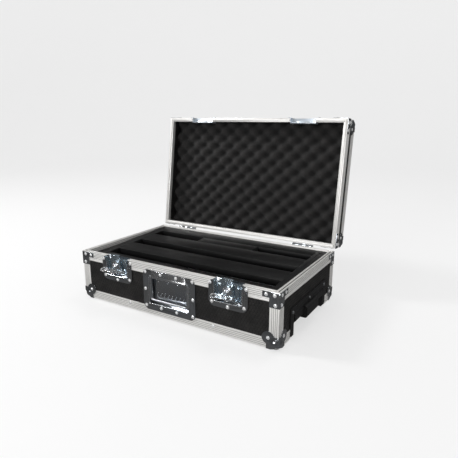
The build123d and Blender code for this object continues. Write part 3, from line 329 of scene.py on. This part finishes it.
lidTurn = (math.radians(case["lidOpen"]), 0, 0)
warm = (1.0, 0.99, 0.965)
alongX, alongZ = (2.0, 500.0, 500.0), (500.0, 500.0, 2.0)
zinc = {"base": 0.62, "rough": 0.10, "tint": (0.98, 1.0, 1.02), "blush": (0.94, 0.99, 1.06)}
blueZinc = {"base": 0.74, "rough": 0.12, "tint": (0.78, 0.95, 1.10), "blush": (0.88, 1.0, 1.06)}
materials = {
    "laminateFront": finishMaterial("laminateFront", laminatePattern(0, 2)),
    "laminateEnds": finishMaterial("laminateEnds", laminatePattern(1, 2)),
    "laminateFlat": finishMaterial("laminateFlat", laminatePattern(0, 1)),
    "lidLaminateFront": finishMaterial("lidLaminateFront", laminatePattern(0, 2), lidTurn),
    "lidLaminateEnds": finishMaterial("lidLaminateEnds", laminatePattern(1, 2), lidTurn),
    "lidLaminateTop": finishMaterial("lidLaminateTop", laminatePattern(0, 1), lidTurn),
    "pressedZinc": finishMaterial("pressedZinc", plated(**zinc), Metallic=1.0),
    "blueZinc": finishMaterial("blueZinc", plated(**blueZinc), Metallic=1.0),
    # A paler, half-metallic copy of the zinc for the rivet domes: painted highlight, so the domes read white.
    "rivetWithHighlight": finishMaterial("rivetWithHighlight", plated(0.88, 0.2, (1, 1, 1), (0.97, 0.99, 1.01)),
                                  Metallic=0.6),
    # A paler, less metallic copy of the blue zinc for the lid latch dishes: painted light for the up-facing
    # dishes.
    "litBlueZinc": finishMaterial("litBlueZinc", plated(0.85, 0.3, (0.84, 0.94, 1.06), (0.94, 1.0, 1.04)),
                               Metallic=0.8),
    # Zinc brighter than the pressings: the bright plating of the latch wings and spindles, and painted
    # highlight on the hinge strap's barrel, the rolled lips and the tray stampings.
    "zincWithHighlight": finishMaterial("zincWithHighlight", plated(0.86, 0.16, (1, 1, 1.01), (0.93, 0.98, 1.04)),
                                 Metallic=1.0),
    "drawnSteel": finishMaterial("drawnSteel", drawnMetal(0.66, 0.2, alongX, (0.97, 1, 1.03)),
                                 Metallic=1.0),
    "boardBlack": finishMaterial("boardBlack", slatPattern(0.0035, 0.34), pose=boardPose,
                                 Specular_IOR_Level=0.35),
    "railBlack": finishMaterial("railBlack", blackGrain(0.0035, 0.36, 1.0, 0.00012, (700, 6, 700))),
    "blackPlastic": finishMaterial("blackPlastic", blackGrain(0.008, 0.40, 650.0, 0.0002)),
    "wheelRubber": finishMaterial("wheelRubber", blackGrain(0.012, 0.62, 300.0, 0.0003)),
    "blackScrew": finishMaterial("blackScrew", blackGrain(0.03, 0.3, 400.0, 0.0001), Metallic=0.8),
    "foam": finishMaterial("foam", foamPattern, pose=lidPose, Sheen_Weight=0.06, Sheen_Roughness=0.6),
    "stainedWood": finishMaterial("stainedWood", woodPattern),
}
profiles = {
    # name: direction of the grain, pose, ways across the ribs
    "rimBase": (alongX, basePose, [(2, -1, case["height"], ribs["rimStart"])]),
    "angleBase": (alongX, basePose, [(2, 1, 0.0, ribs["angleStart"])]),
    "rimLid": (alongX, lidPose, [(2, 1, -lidPlane, ribs["rimStart"])]),
    "angleLid": (alongX, lidPose, [(2, -1, lidTop, ribs["angleStart"]), (0, None, hx, ribs["angleStart"]),
                                   (1, None, hy, ribs["angleStart"])]),
    "uprightBase": (alongZ, basePose, [(0, None, hx, ribs["angleStart"]),
                                       (1, None, hy, ribs["angleStart"])]),
}
for name, (grain, pose, ways) in profiles.items():
    materials[name] = finishMaterial(name, ribbed(0.86, 0.36, grain, warm, ways), pose=pose, Metallic=0.55)
print("materials made")

nodeMaterials = {
    "laminateFront": ["base_front_panel", "base_back_panel"],
    "laminateEnds": ["base_left_panel", "base_right_panel"],
    "laminateFlat": ["base_bottom_panel"],
    "lidLaminateFront": ["lid_front_panel", "lid_back_panel"],
    "lidLaminateEnds": ["lid_end_panels"],
    "lidLaminateTop": ["lid_top_panel"],
    "rimBase": ["base_rim_front", "base_rim_back", "base_rim_ends"],
    "angleBase": ["base_bottom_angles"],
    "uprightBase": ["base_corner_angles"],
    "rimLid": ["lid_rim_front", "lid_rim_back", "lid_rim_ends"],
    "angleLid": ["lid_angles"],
    "pressedZinc": ["base_ball_corners", "base_brace_corners", "lid_ball_corners", "lid_brace_corners",
                    "latch_dishes", "handle_dish", "hinge_base_leaves", "hinge_lid_leaves", "base_rivets",
                    "lid_rivets", "trolley_screws"],
    # Lid latch dishes in the painted-light copy of the blue zinc.
    "litBlueZinc": ["lid_latch_dishes"],
    "blueZinc": ["latch_springs", "latch_carrier_left", "latch_carrier_right",
                 "latch_hook_left", "latch_hook_right"],
    # Parts in the brighter zinc: bright plating on wings and spindles, painted highlight on the hinge strap.
    "zincWithHighlight": ["latch_wing_left", "latch_wing_right", "latch_spindle_left", "latch_spindle_right",
                   "handle_hinge_strap"],
    "drawnSteel": ["handle_bail", "latch_pivot_pins", "hinge_pins", "wheel_axles",
                   "trolley_outer_tubes", "trolley_mid_tubes", "trolley_rods", "trolley_brackets"],
    "boardBlack": ["board_slats", "board_bridge"],
    "railBlack": ["board_end_rails"],
    "blackPlastic": ["trolley_housing", "trolley_grip", "trolley_button", "wheel_housings"],
    "wheelRubber": ["wheel_front", "wheel_rear"],
    "blackScrew": ["board_screws"],
    "foam": ["lid_foam"],
    "stainedWood": ["board_battens"],
}
for materialName, names in nodeMaterials.items():
    for name in names:
        nodes[name].data.materials.clear()
        nodes[name].data.materials.append(materials[materialName])


# ---- pieces ----
def makePiece(name, mesh, pose, body, material, replaced=(), smooth=35):
    mesh.transform(pose)
    mesh.materials.clear()
    mesh.materials.append(materials[material])
    if smooth:
        mesh.shade_smooth()
        mesh.set_sharp_from_angle(angle=math.radians(smooth))
    piece = bpy.data.objects.new(name, mesh)
    bpy.context.scene.collection.objects.link(piece)
    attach(piece, body)
    if replaced:
        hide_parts(*replaced)
    return piece


def geometryTree(name, inputs):
    # A Geometry Nodes tree with named float inputs; gives its graph and the wires of its inputs.
    tree = bpy.data.node_groups.new(name, "GeometryNodeTree")
    tree.interface.new_socket("Geometry", in_out="INPUT", socket_type="NodeSocketGeometry")
    tree.interface.new_socket("Geometry", in_out="OUTPUT", socket_type="NodeSocketGeometry")
    for key, value in inputs.items():
        whole = isinstance(value, int)
        socket = tree.interface.new_socket(
            key, in_out="INPUT", socket_type="NodeSocketInt" if whole else "NodeSocketFloat")
        socket.default_value = value
    graph = Graph(tree)
    first = graph.node("NodeGroupInput")
    return graph, {key: first.out(key) for key in ["Geometry", *inputs]}


def endTree(graph, geometry, material):
    real = graph.node("GeometryNodeRealizeInstances", {}, {"Geometry": geometry})
    painted = graph.node("GeometryNodeSetMaterial", {}, {"Geometry": real})
    painted.socket.node.inputs["Material"].default_value = materials[material]
    graph.node("NodeGroupOutput", {}, {"Geometry": painted})


def grown(graph, mesh, values):
    # Runs a tree on a mesh with the given inputs and gives the result as a plain mesh.
    carrier = bpy.data.objects.new("carrier", mesh)
    bpy.context.scene.collection.objects.link(carrier)
    modifier = carrier.modifiers.new("grow", "NODES")
    modifier.node_group = graph.tree
    for item in graph.tree.interface.items_tree:
        if item.in_out == "INPUT" and item.name in values:
            modifier[item.identifier] = values[item.name]
    depsgraph = bpy.context.evaluated_depsgraph_get()
    result = bpy.data.meshes.new_from_object(carrier.evaluated_get(depsgraph))
    bpy.data.objects.remove(carrier)
    return result


def pointMesh(places):
    # Points with the direction that each one faces.
    mesh = bpy.data.meshes.new("places")
    mesh.from_pydata([p for p, _ in places], [], [])
    facing = mesh.attributes.new("facing", "FLOAT_VECTOR", "POINT")
    facing.data.foreach_set("vector", [c for _, n in places for c in n])
    return mesh


# ---- pressed and moulded parts with eased edges ----
bodyOf = {n: body for body, names in frame["record"]["behaviour"]["bodies"].items() for n in names}
materialOf = {n: materialName for materialName, names in nodeMaterials.items() for n in names}


ball = {"radius": 16.0, "inset": 12.0, "reach": 19.0, "under": 15.3, "spare": 0.1}


def tuckCorners(bm, pose, lid):
    # Pulls what would stand out of the ball corners back inside them.
    bm.transform(pose.inverted())
    height = lidTop if lid else 0.0
    for axis, at in ((0, hx), (1, hy)):
        for side in (-1, 1):
            normal = Vector([side if i == axis else 0 for i in range(3)])
            bmesh.ops.bisect_plane(bm, geom=bm.verts[:] + bm.edges[:] + bm.faces[:], dist=1e-4,
                                   plane_co=normal * (at - ball["reach"] - 1), plane_no=normal)
    levelCut = Vector((0, 0, height + (-1 if lid else 1) * (ball["reach"] + 1)))
    bmesh.ops.bisect_plane(bm, geom=bm.verts[:] + bm.edges[:] + bm.faces[:], dist=1e-4,
                           plane_co=levelCut, plane_no=(0, 0, 1))
    for vert in bm.verts:
        x, y, z = vert.co
        if max(hx - abs(x), hy - abs(y), abs(z - height)) < ball["reach"]:
            middle = Vector((math.copysign(hx - ball["inset"], x), math.copysign(hy - ball["inset"], y),
                             height + (-1 if lid else 1) * ball["inset"]))
            away = vert.co - middle
            if away.length > ball["radius"] + ball["spare"]:
                vert.co = middle + away.normalized() * ball["under"]
    bm.transform(pose)


def eased(node, width, segments=2):
    # A copy of a CAD node with its sharp edges rounded, in place of the node.
    bm = bmesh.new()
    bm.from_mesh(nodes[node].data)
    bmesh.ops.remove_doubles(bm, verts=bm.verts, dist=3e-6)
    if node in tucked:
        onLid = bodyOf[node] == "lid"
        tuckCorners(bm, lidPose if onLid else basePose, onLid)
    bmesh.ops.dissolve_limit(bm, angle_limit=math.radians(1.5), verts=bm.verts, edges=bm.edges)
    mesh = bpy.data.meshes.new(node)
    bm.to_mesh(mesh)
    bm.free()
    carrier = bpy.data.objects.new("carrier", mesh)
    bpy.context.scene.collection.objects.link(carrier)
    bevel = carrier.modifiers.new("ease", "BEVEL")
    bevel.width, bevel.segments = width / 1000, segments
    bevel.limit_method, bevel.angle_limit = "ANGLE", math.radians(40)
    depsgraph = bpy.context.evaluated_depsgraph_get()
    result = bpy.data.meshes.new_from_object(carrier.evaluated_get(depsgraph))
    bpy.data.objects.remove(carrier)
    return makePiece(node + "_eased", result, Matrix.Identity(4), bodyOf[node],
                     materialOf[node], [node])


tucked = ["base_ball_corners", "lid_ball_corners", "base_corner_angles", "lid_angles", "base_bottom_angles",
          "base_bottom_panel", "lid_top_panel"]
easedEdges = {
    0.5: ["base_ball_corners", "lid_ball_corners", "base_brace_corners", "lid_brace_corners", "latch_dishes",
          "lid_latch_dishes", "handle_dish", "handle_hinge_strap", "hinge_base_leaves", "hinge_lid_leaves"],
    0.4: ["latch_carrier_left", "latch_carrier_right", "latch_hook_left", "latch_hook_right",
          "latch_spindle_left", "latch_spindle_right", "latch_wing_left", "latch_wing_right"],
    0.35: ["base_rim_front", "base_rim_back", "base_rim_ends", "base_corner_angles", "base_bottom_angles",
           "lid_rim_front", "lid_rim_back", "lid_rim_ends", "lid_angles"],
    0.8: ["trolley_housing", "trolley_button", "wheel_housings"],
    0.3: ["board_slats", "board_bridge", "board_end_rails", "base_bottom_panel", "lid_top_panel"],
}
for width, names in easedEdges.items():
    for name in names:
        eased(name, width)
print("eased parts made")

# ---- rivets ----
rivet = {"radius": 4.4, "height": 2.0, "rim": 0.35}
cornerRivet = 27.0
leaf = {"face": 1.5, "row": 15, "across": (-25, 0, 25)}
angleRivet = {"x": 140, "z": 17.0}


def rivetTree():
    g, wires = geometryTree("domedRivets", {"Radius": rivet["radius"], "Height": rivet["height"],
                                            "Rim": rivet["rim"]})
    dome = g.node("GeometryNodeMeshUVSphere", {}, {"Segments": 20, "Rings": 10, "Radius": 1.0})
    size = g.node("ShaderNodeCombineXYZ", {}, {0: wires["Radius"], 1: wires["Radius"], 2: wires["Height"]})
    head = g.node("GeometryNodeTransform", {}, {"Geometry": dome, "Scale": size})
    disc = g.node("GeometryNodeMeshCylinder", {}, {"Vertices": 20, "Radius": wires["Radius"] * 1.06,
                                                   "Depth": wires["Rim"] * 2.0})
    whole = g.node("GeometryNodeJoinGeometry", {}, {"Geometry": head})
    g.tree.links.new(disc.socket, whole.socket.node.inputs[0])
    facing = g.node("GeometryNodeInputNamedAttribute", {"data_type": "FLOAT_VECTOR"}, {"Name": "facing"})
    turn = g.node("FunctionNodeAlignRotationToVector", {"axis": "Z"}, {"Vector": facing})
    placed = g.node("GeometryNodeInstanceOnPoints", {}, {"Points": wires["Geometry"], "Instance": whole,
                                                         "Rotation": turn})
    endTree(g, placed, "rivetWithHighlight")
    return g


def allCorners(spots, overHeight=None):
    places = []
    for (x, y, z), (nx, ny, nz) in spots:
        if overHeight is not None:
            z, nz = 2 * overHeight - z, -nz
        places += [((sx * x, sy * y, z), (sx * nx, sy * ny, nz)) for sx in (1, -1) for sy in (1, -1)]
    return places


def ballSpots():
    inward = cornerRivet
    return [((-hx + inward, frontSheet, inward), (0, -1, 0)),
            ((-hx - case["sheet"], -hy + inward, inward), (-1, 0, 0)),
            ((-hx + inward, -hy + inward, -case["sheet"]), (0, 0, -1))]


def braceSpots(drop):
    # Across from the corner and down from the closing plane; drop is how far the plate reaches down.
    spots = [(12, -9), (34, -9), (10, 5 - drop)]
    return ([((-hx + u, frontSheet, case["height"] + v), (0, -1, 0)) for u, v in spots]
            + [((-hx - case["sheet"], -hy + u, case["height"] + v), (-1, 0, 0)) for u, v in spots])


def platePlaces(spots, middle, height):
    return [((middle + u, frontSheet, height + v), (0, -1, 0)) for u, v in spots]


def leafPlaces(up):
    return [((side * case["hingeX"] + u, hy + leaf["face"], case["height"] + up * leaf["row"]), (0, 1, 0))
            for side in (-1, 1) for u in leaf["across"]]


# Rivets of a plate, from its middle and its top or the ground.
baseBrace, lidBrace = 38, 24
latchSpots = [(-51, -10), (51, -10), (-46, -59), (46, -59), (0, -66)]
lidSpots = [(-48, 9), (48, 9), (-43, 26), (43, 26)]
handleSpots = [(x, z) for z in (26.0, 122.0) for x in (-78, -26, 26, 78)] + [(-79, 73.5), (79, 73.5)]
rivets = rivetTree()
basePlaces = (
    allCorners(ballSpots()) + allCorners(braceSpots(baseBrace))
    + platePlaces(latchSpots, -latchX, case["height"]) + platePlaces(latchSpots, latchX, case["height"])
    + platePlaces(handleSpots, 0, 0) + leafPlaces(-1)
)
lidPlaces = (
    allCorners(ballSpots(), lidTop / 2) + allCorners(braceSpots(lidBrace), case["height"] + case["gap"] / 2)
    + platePlaces(lidSpots, -latchX, lidPlane) + platePlaces(lidSpots, latchX, lidPlane) + leafPlaces(1)
)
basePlaces += [((side * angleRivet["x"], -hy, angleRivet["z"]), (0, -1, 0)) for side in (-1, 1)]
rivetSizes = {"Radius": rivet["radius"], "Height": rivet["height"], "Rim": rivet["rim"]}
# The rivet domes take the painted-highlight copy of the zinc.
makePiece("rivets_base", grown(rivets, pointMesh(basePlaces), rivetSizes), basePose, "case",
          "rivetWithHighlight", ["base_rivets"])
makePiece("rivets_lid", grown(rivets, pointMesh(lidPlaces), rivetSizes), lidPose, "lid",
          "rivetWithHighlight", ["lid_rivets"])
print("rivets made")

# ---- foam ----
foam = {"crestHeight": 33.0, "pitDepth": 15.0, "pitchX": 55.0, "rowY": 25.0, "clear": 0.6, "wall": 10.5,
        "countX": 260, "countY": 156, "wobble": 5.0, "sharpness": 0.85}


def foamTree():
    # A closed block with a fine grid on it, whose face towards the case is cut in waves.
    g, wires = geometryTree("convolutedFoam", {
        "Length": 100.0, "Width": 100.0, "Thickness": 20.0, "Pit Depth": foam["pitDepth"],
        "Pitch": foam["pitchX"], "Row": foam["rowY"], "Count X": foam["countX"], "Count Y": foam["countY"]})
    size = g.node("ShaderNodeCombineXYZ", {}, {0: wires["Length"], 1: wires["Width"], 2: wires["Thickness"]})
    block = g.node("GeometryNodeMeshCube", {}, {"Size": size, "Vertices X": wires["Count X"],
                                                "Vertices Y": wires["Count Y"], "Vertices Z": 2})
    position = g.node("GeometryNodeInputPosition")
    x, y, z = g.split(position)
    wobble = g.noise(position, 0.012, 2.0)
    along = ((x + wobble * foam["wobble"]) * (2 * math.pi) / wires["Pitch"]).cosine()
    wave = along * (y * math.pi / wires["Row"]).cosine()
    crest = (wave * 0.5 + 0.5) ** foam["sharpness"]
    depth = (1.0 - crest) * wires["Pit Depth"]
    lift = g.node("ShaderNodeCombineXYZ", {}, {2: depth})
    low = z.maths("LESS_THAN", z, 0.0)
    cut = g.node("GeometryNodeSetPosition", {}, {"Geometry": block, "Selection": low, "Offset": lift})
    endTree(g, cut, "foam")
    return g


foamLow, foamHigh = lidPlane + foam["crestHeight"], lidTop - foam["wall"] - foam["clear"] / 2
foamSizes = {
    "Length": 2 * (hx - foam["wall"] - foam["clear"]), "Width": 2 * (hy - foam["wall"] - foam["clear"]),
    "Thickness": foamHigh - foamLow, "Pit Depth": foam["pitDepth"], "Pitch": foam["pitchX"],
    "Row": foam["rowY"], "Count X": foam["countX"], "Count Y": foam["countY"],
}
foamMesh = grown(foamTree(), pointMesh([]), foamSizes)
foamPlace = lidPose @ Matrix.Translation((0, 0, (foamLow + foamHigh) / 2))
foamPiece = makePiece("egg_crate_foam", foamMesh, foamPlace, "lid", "foam", ["lid_foam"], 60)
print("foam made")

# ---- latch springs ----
spring = {"wire": 0.85, "turns": 5.5, "radius": 3.9, "start": 22.4, "length": 9.2}


def coilTree():
    g, wires = geometryTree("coil", {"Turns": spring["turns"], "Radius": spring["radius"],
                                     "Length": spring["length"], "Wire": spring["wire"]})
    path = g.node("GeometryNodeCurveSpiral", {}, {
        "Resolution": 20, "Rotations": wires["Turns"], "Start Radius": wires["Radius"],
        "End Radius": wires["Radius"], "Height": wires["Length"]})
    profile = g.node("GeometryNodeCurvePrimitiveCircle", {}, {"Resolution": 8, "Radius": wires["Wire"]})
    tube = g.node("GeometryNodeCurveToMesh", {}, {"Curve": path, "Profile Curve": profile, "Fill Caps": True})
    endTree(g, tube, "blueZinc")
    return g


def joined(meshes):
    bm = bmesh.new()
    for mesh, pose in meshes:
        copy = mesh.copy()
        copy.transform(pose)
        bm.from_mesh(copy)
    result = bpy.data.meshes.new("joined")
    bm.to_mesh(result)
    bm.free()
    return result


coil = grown(coilTree(), pointMesh([]), {"Turns": spring["turns"], "Radius": spring["radius"],
                                         "Length": spring["length"], "Wire": spring["wire"]})
coilTurn = Matrix.Rotation(math.radians(90), 4, "Y")
coils = joined([(coil, Matrix.Translation((side * latchX + spring["start"], case["pivotY"], case["pivotZ"]))
                 @ coilTurn) for side in (-1, 1)])
makePiece("torsion_springs", coils, basePose, "case", "blueZinc", ["latch_springs"], 50)
print("springs made")

# ---- what is stamped into the handle's tray ----
tray = {"back": -175.0, "dimpleRadius": 2.6, "dimpleHeight": 1.0, "dimpleZ": 95.0,
        "ribLength": 15.0, "ribRadius": 1.3, "ribLean": 28.0, "ribZ": 57.0, "ribPitch": 12.5,
        "ribStart": -50, "ribCount": 9, "dimpleXs": (-46, -14, 19, 50), "dimpleOut": 0.1, "dimpleRim": 0.1}


def barTree():
    g, wires = geometryTree("leaningRibs", {"Radius": tray["ribRadius"], "Length": tray["ribLength"],
                                            "Lean": math.radians(tray["ribLean"])})
    bar = g.node("GeometryNodeMeshUVSphere", {}, {"Segments": 12, "Rings": 8, "Radius": 1.0})
    size = g.node("ShaderNodeCombineXYZ", {}, {0: wires["Radius"], 1: wires["Radius"],
                                               2: wires["Length"] * 0.5})
    shaped = g.node("GeometryNodeTransform", {}, {"Geometry": bar, "Scale": size})
    turn = g.node("ShaderNodeCombineXYZ", {}, {1: wires["Lean"]})
    placed = g.node("GeometryNodeInstanceOnPoints", {}, {"Points": wires["Geometry"], "Instance": shaped,
                                                         "Rotation": turn})
    endTree(g, placed, "pressedZinc")
    return g


ribXs = [tray["ribStart"] + tray["ribPitch"] * i for i in range(tray["ribCount"])]
ribMesh = grown(barTree(), pointMesh([((x, tray["back"], tray["ribZ"]), (0, -1, 0)) for x in ribXs]),
                {"Radius": tray["ribRadius"], "Length": tray["ribLength"],
                 "Lean": math.radians(tray["ribLean"])})
# The tray stampings take the brighter zinc as painted highlight.
makePiece("handle_tray_ribs", ribMesh, basePose, "case", "zincWithHighlight")
dimpleY = tray["back"] + tray["dimpleOut"]
dimples = [((x, dimpleY, tray["dimpleZ"]), (0, -1, 0)) for x in tray["dimpleXs"]]
weldMesh = grown(rivets, pointMesh(dimples), {
    "Radius": tray["dimpleRadius"], "Height": tray["dimpleHeight"], "Rim": tray["dimpleRim"]})
makePiece("handle_tray_welds", weldMesh, basePose, "case", "zincWithHighlight")

# ---- rolled lips round the pressed openings ----
lip = {"radius": 1.5, "corner": 5.0, "segments": 12, "cornerPoints": 6}


def lipTree():
    # A rounded bead that follows open outlines with filleted corners.
    g, wires = geometryTree("rolledLip", {"Radius": lip["radius"], "Corner": lip["corner"]})
    path = g.node("GeometryNodeMeshToCurve", {}, {"Mesh": wires["Geometry"]})
    fillet = g.node("GeometryNodeFilletCurve", {}, {"Curve": path, "Radius": wires["Corner"]})
    fillet.socket.node.mode = "POLY"
    fillet.socket.node.inputs["Count"].default_value = lip["cornerPoints"]
    profile = g.node("GeometryNodeCurvePrimitiveCircle", {}, {"Resolution": lip["segments"],
                                                              "Radius": wires["Radius"]})
    tube = g.node("GeometryNodeCurveToMesh", {}, {"Curve": fillet, "Profile Curve": profile,
                                                  "Fill Caps": True})
    endTree(g, tube, "zincWithHighlight")
    return g


def outlines(paths):
    # Open outlines as one mesh of edges.
    mesh = bpy.data.meshes.new("outlines")
    verts, edges = [], []
    for points in paths:
        start = len(verts)
        verts += points
        edges += [(start + i, start + i + 1) for i in range(len(points) - 1)]
    mesh.from_pydata(verts, edges, [])
    return mesh


def opening(middle, half, bottom, top):
    return [(middle + side * half, frontSheet, z)
            for side, z in ((-1, top), (-1, bottom), (1, bottom), (1, top))]


lips = lipTree()
openings = {
    # half width, bottom and top
    "latch": (40, 87, 131),
    "handle": (66, 33, 106),
}
basePaths = [opening(side * latchX, *openings["latch"]) for side in (-1, 1)]
basePaths.append(opening(0, *openings["handle"]))
lipMesh = grown(lips, outlines(basePaths), {"Radius": lip["radius"], "Corner": lip["corner"]})
# The rolled lips take the brighter zinc as painted highlight.
makePiece("rolled_lips_base", lipMesh, basePose, "case", "zincWithHighlight", smooth=60)
print("handle and latch dressings made")

# ---- camera, light, floor ----
view = {"offset": (1.0216, -0.8525, 0.3825), "forward": (-0.50142, 0.82977, -0.24507), "lens": 34.8}
rimLow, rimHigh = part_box("base_rim_front")
corner = Vector((rimLow.x, rimLow.y, rimHigh.z))
camera = bpy.data.objects.new("camera", bpy.data.cameras.new("camera"))
camera.data.lens, camera.data.sensor_width = view["lens"], 36.0
camera.data.clip_start = 0.02
camera.location = corner + Vector(view["offset"])
camera.rotation_euler = Vector(view["forward"]).to_track_quat("-Z", "Y").to_euler()
bpy.context.scene.collection.objects.link(camera)
bpy.context.scene.camera = camera

lights = [
    # name, place, aim, size, watts
    ("frontLow", (-0.3, -3.1, 1.0), (0, 0, 0.1), 1.1, 34),
    ("leftHigh", (-2.3, -0.9, 2.3), (0, 0.0, 0.25), 0.6, 46),
    ("overhead", (0.4, 1.0, 3.0), (0, 0, 0.2), 0.8, 14),
    ("rightSoft", (3.0, 0.2, 1.0), (0.1, 0, 0.15), 0.8, 4),
]
for name, place, aim, size, watts in lights:
    lamp = bpy.data.lights.new(name, "AREA")
    lamp.size, lamp.energy = size, watts
    light = bpy.data.objects.new(name, lamp)
    light.location = place
    light.rotation_euler = (Vector(aim) - Vector(place)).to_track_quat("-Z", "Y").to_euler()
    bpy.context.scene.collection.objects.link(light)

# Dark below, soft grey above: what the metal reflects.
world = bpy.data.worlds.new("studio")
world.use_nodes = True
world.node_tree.nodes.clear()
sky = Graph(world.node_tree)
up = sky.split(sky.node("ShaderNodeTexCoord", output="Generated"))[2]
shade = sky.ramp(up * 0.5 + 0.5, [(0.25, 0.10), (0.47, 0.05), (0.56, 0.07), (0.85, 0.18)])
glow = sky.node("ShaderNodeBackground", {}, {"Color": shade, "Strength": 1.0})
sky.node("ShaderNodeOutputWorld", {}, {"Surface": glow})
bpy.context.scene.world = world
bpy.context.scene.view_settings.view_transform = "Standard"


def floorPattern(g, coords):
    speck = g.noise(coords, 3.0, 4.0)
    colour = g.mix(speck, grey(0.30), grey(0.31))
    return {"Base Color": colour, "Roughness": 0.8 + speck * 0.1, "Emission Color": grey(0.60)}


# A floor that sweeps up into the backdrop all round.
bm = bmesh.new()
sweep = {"flat": 4.0, "bend": 2.0, "wall": 9.0, "steps": 8, "sides": 64}
profile = [(0.0, 0.0), (sweep["flat"], 0.0)]
for step in range(1, sweep["steps"] + 1):
    angle = math.pi / 2 * step / sweep["steps"]
    profile.append((sweep["flat"] + sweep["bend"] * math.sin(angle), sweep["bend"] * (1 - math.cos(angle))))
profile.append((sweep["flat"] + sweep["bend"], sweep["wall"]))
points = [bm.verts.new((r, 0, z)) for r, z in profile]
edges = [bm.edges.new(pair) for pair in zip(points, points[1:])]
bmesh.ops.spin(bm, geom=points + edges, cent=(0, 0, 0), axis=(0, 0, 1), angle=2 * math.pi,
               steps=sweep["sides"])
bmesh.ops.remove_doubles(bm, verts=bm.verts, dist=1e-4)
bmesh.ops.recalc_face_normals(bm, faces=bm.faces)
floorMesh = bpy.data.meshes.new("floor")
bm.to_mesh(floorMesh)
bm.free()
floorMesh.shade_smooth()
floorMesh.materials.append(finishMaterial("floorPaint", floorPattern, Emission_Strength=1.0))
floor = bpy.data.objects.new("floor", floorMesh)
floor.visible_glossy = False
floor.visible_shadow = False
bpy.context.scene.collection.objects.link(floor)
print("camera, light and floor made")
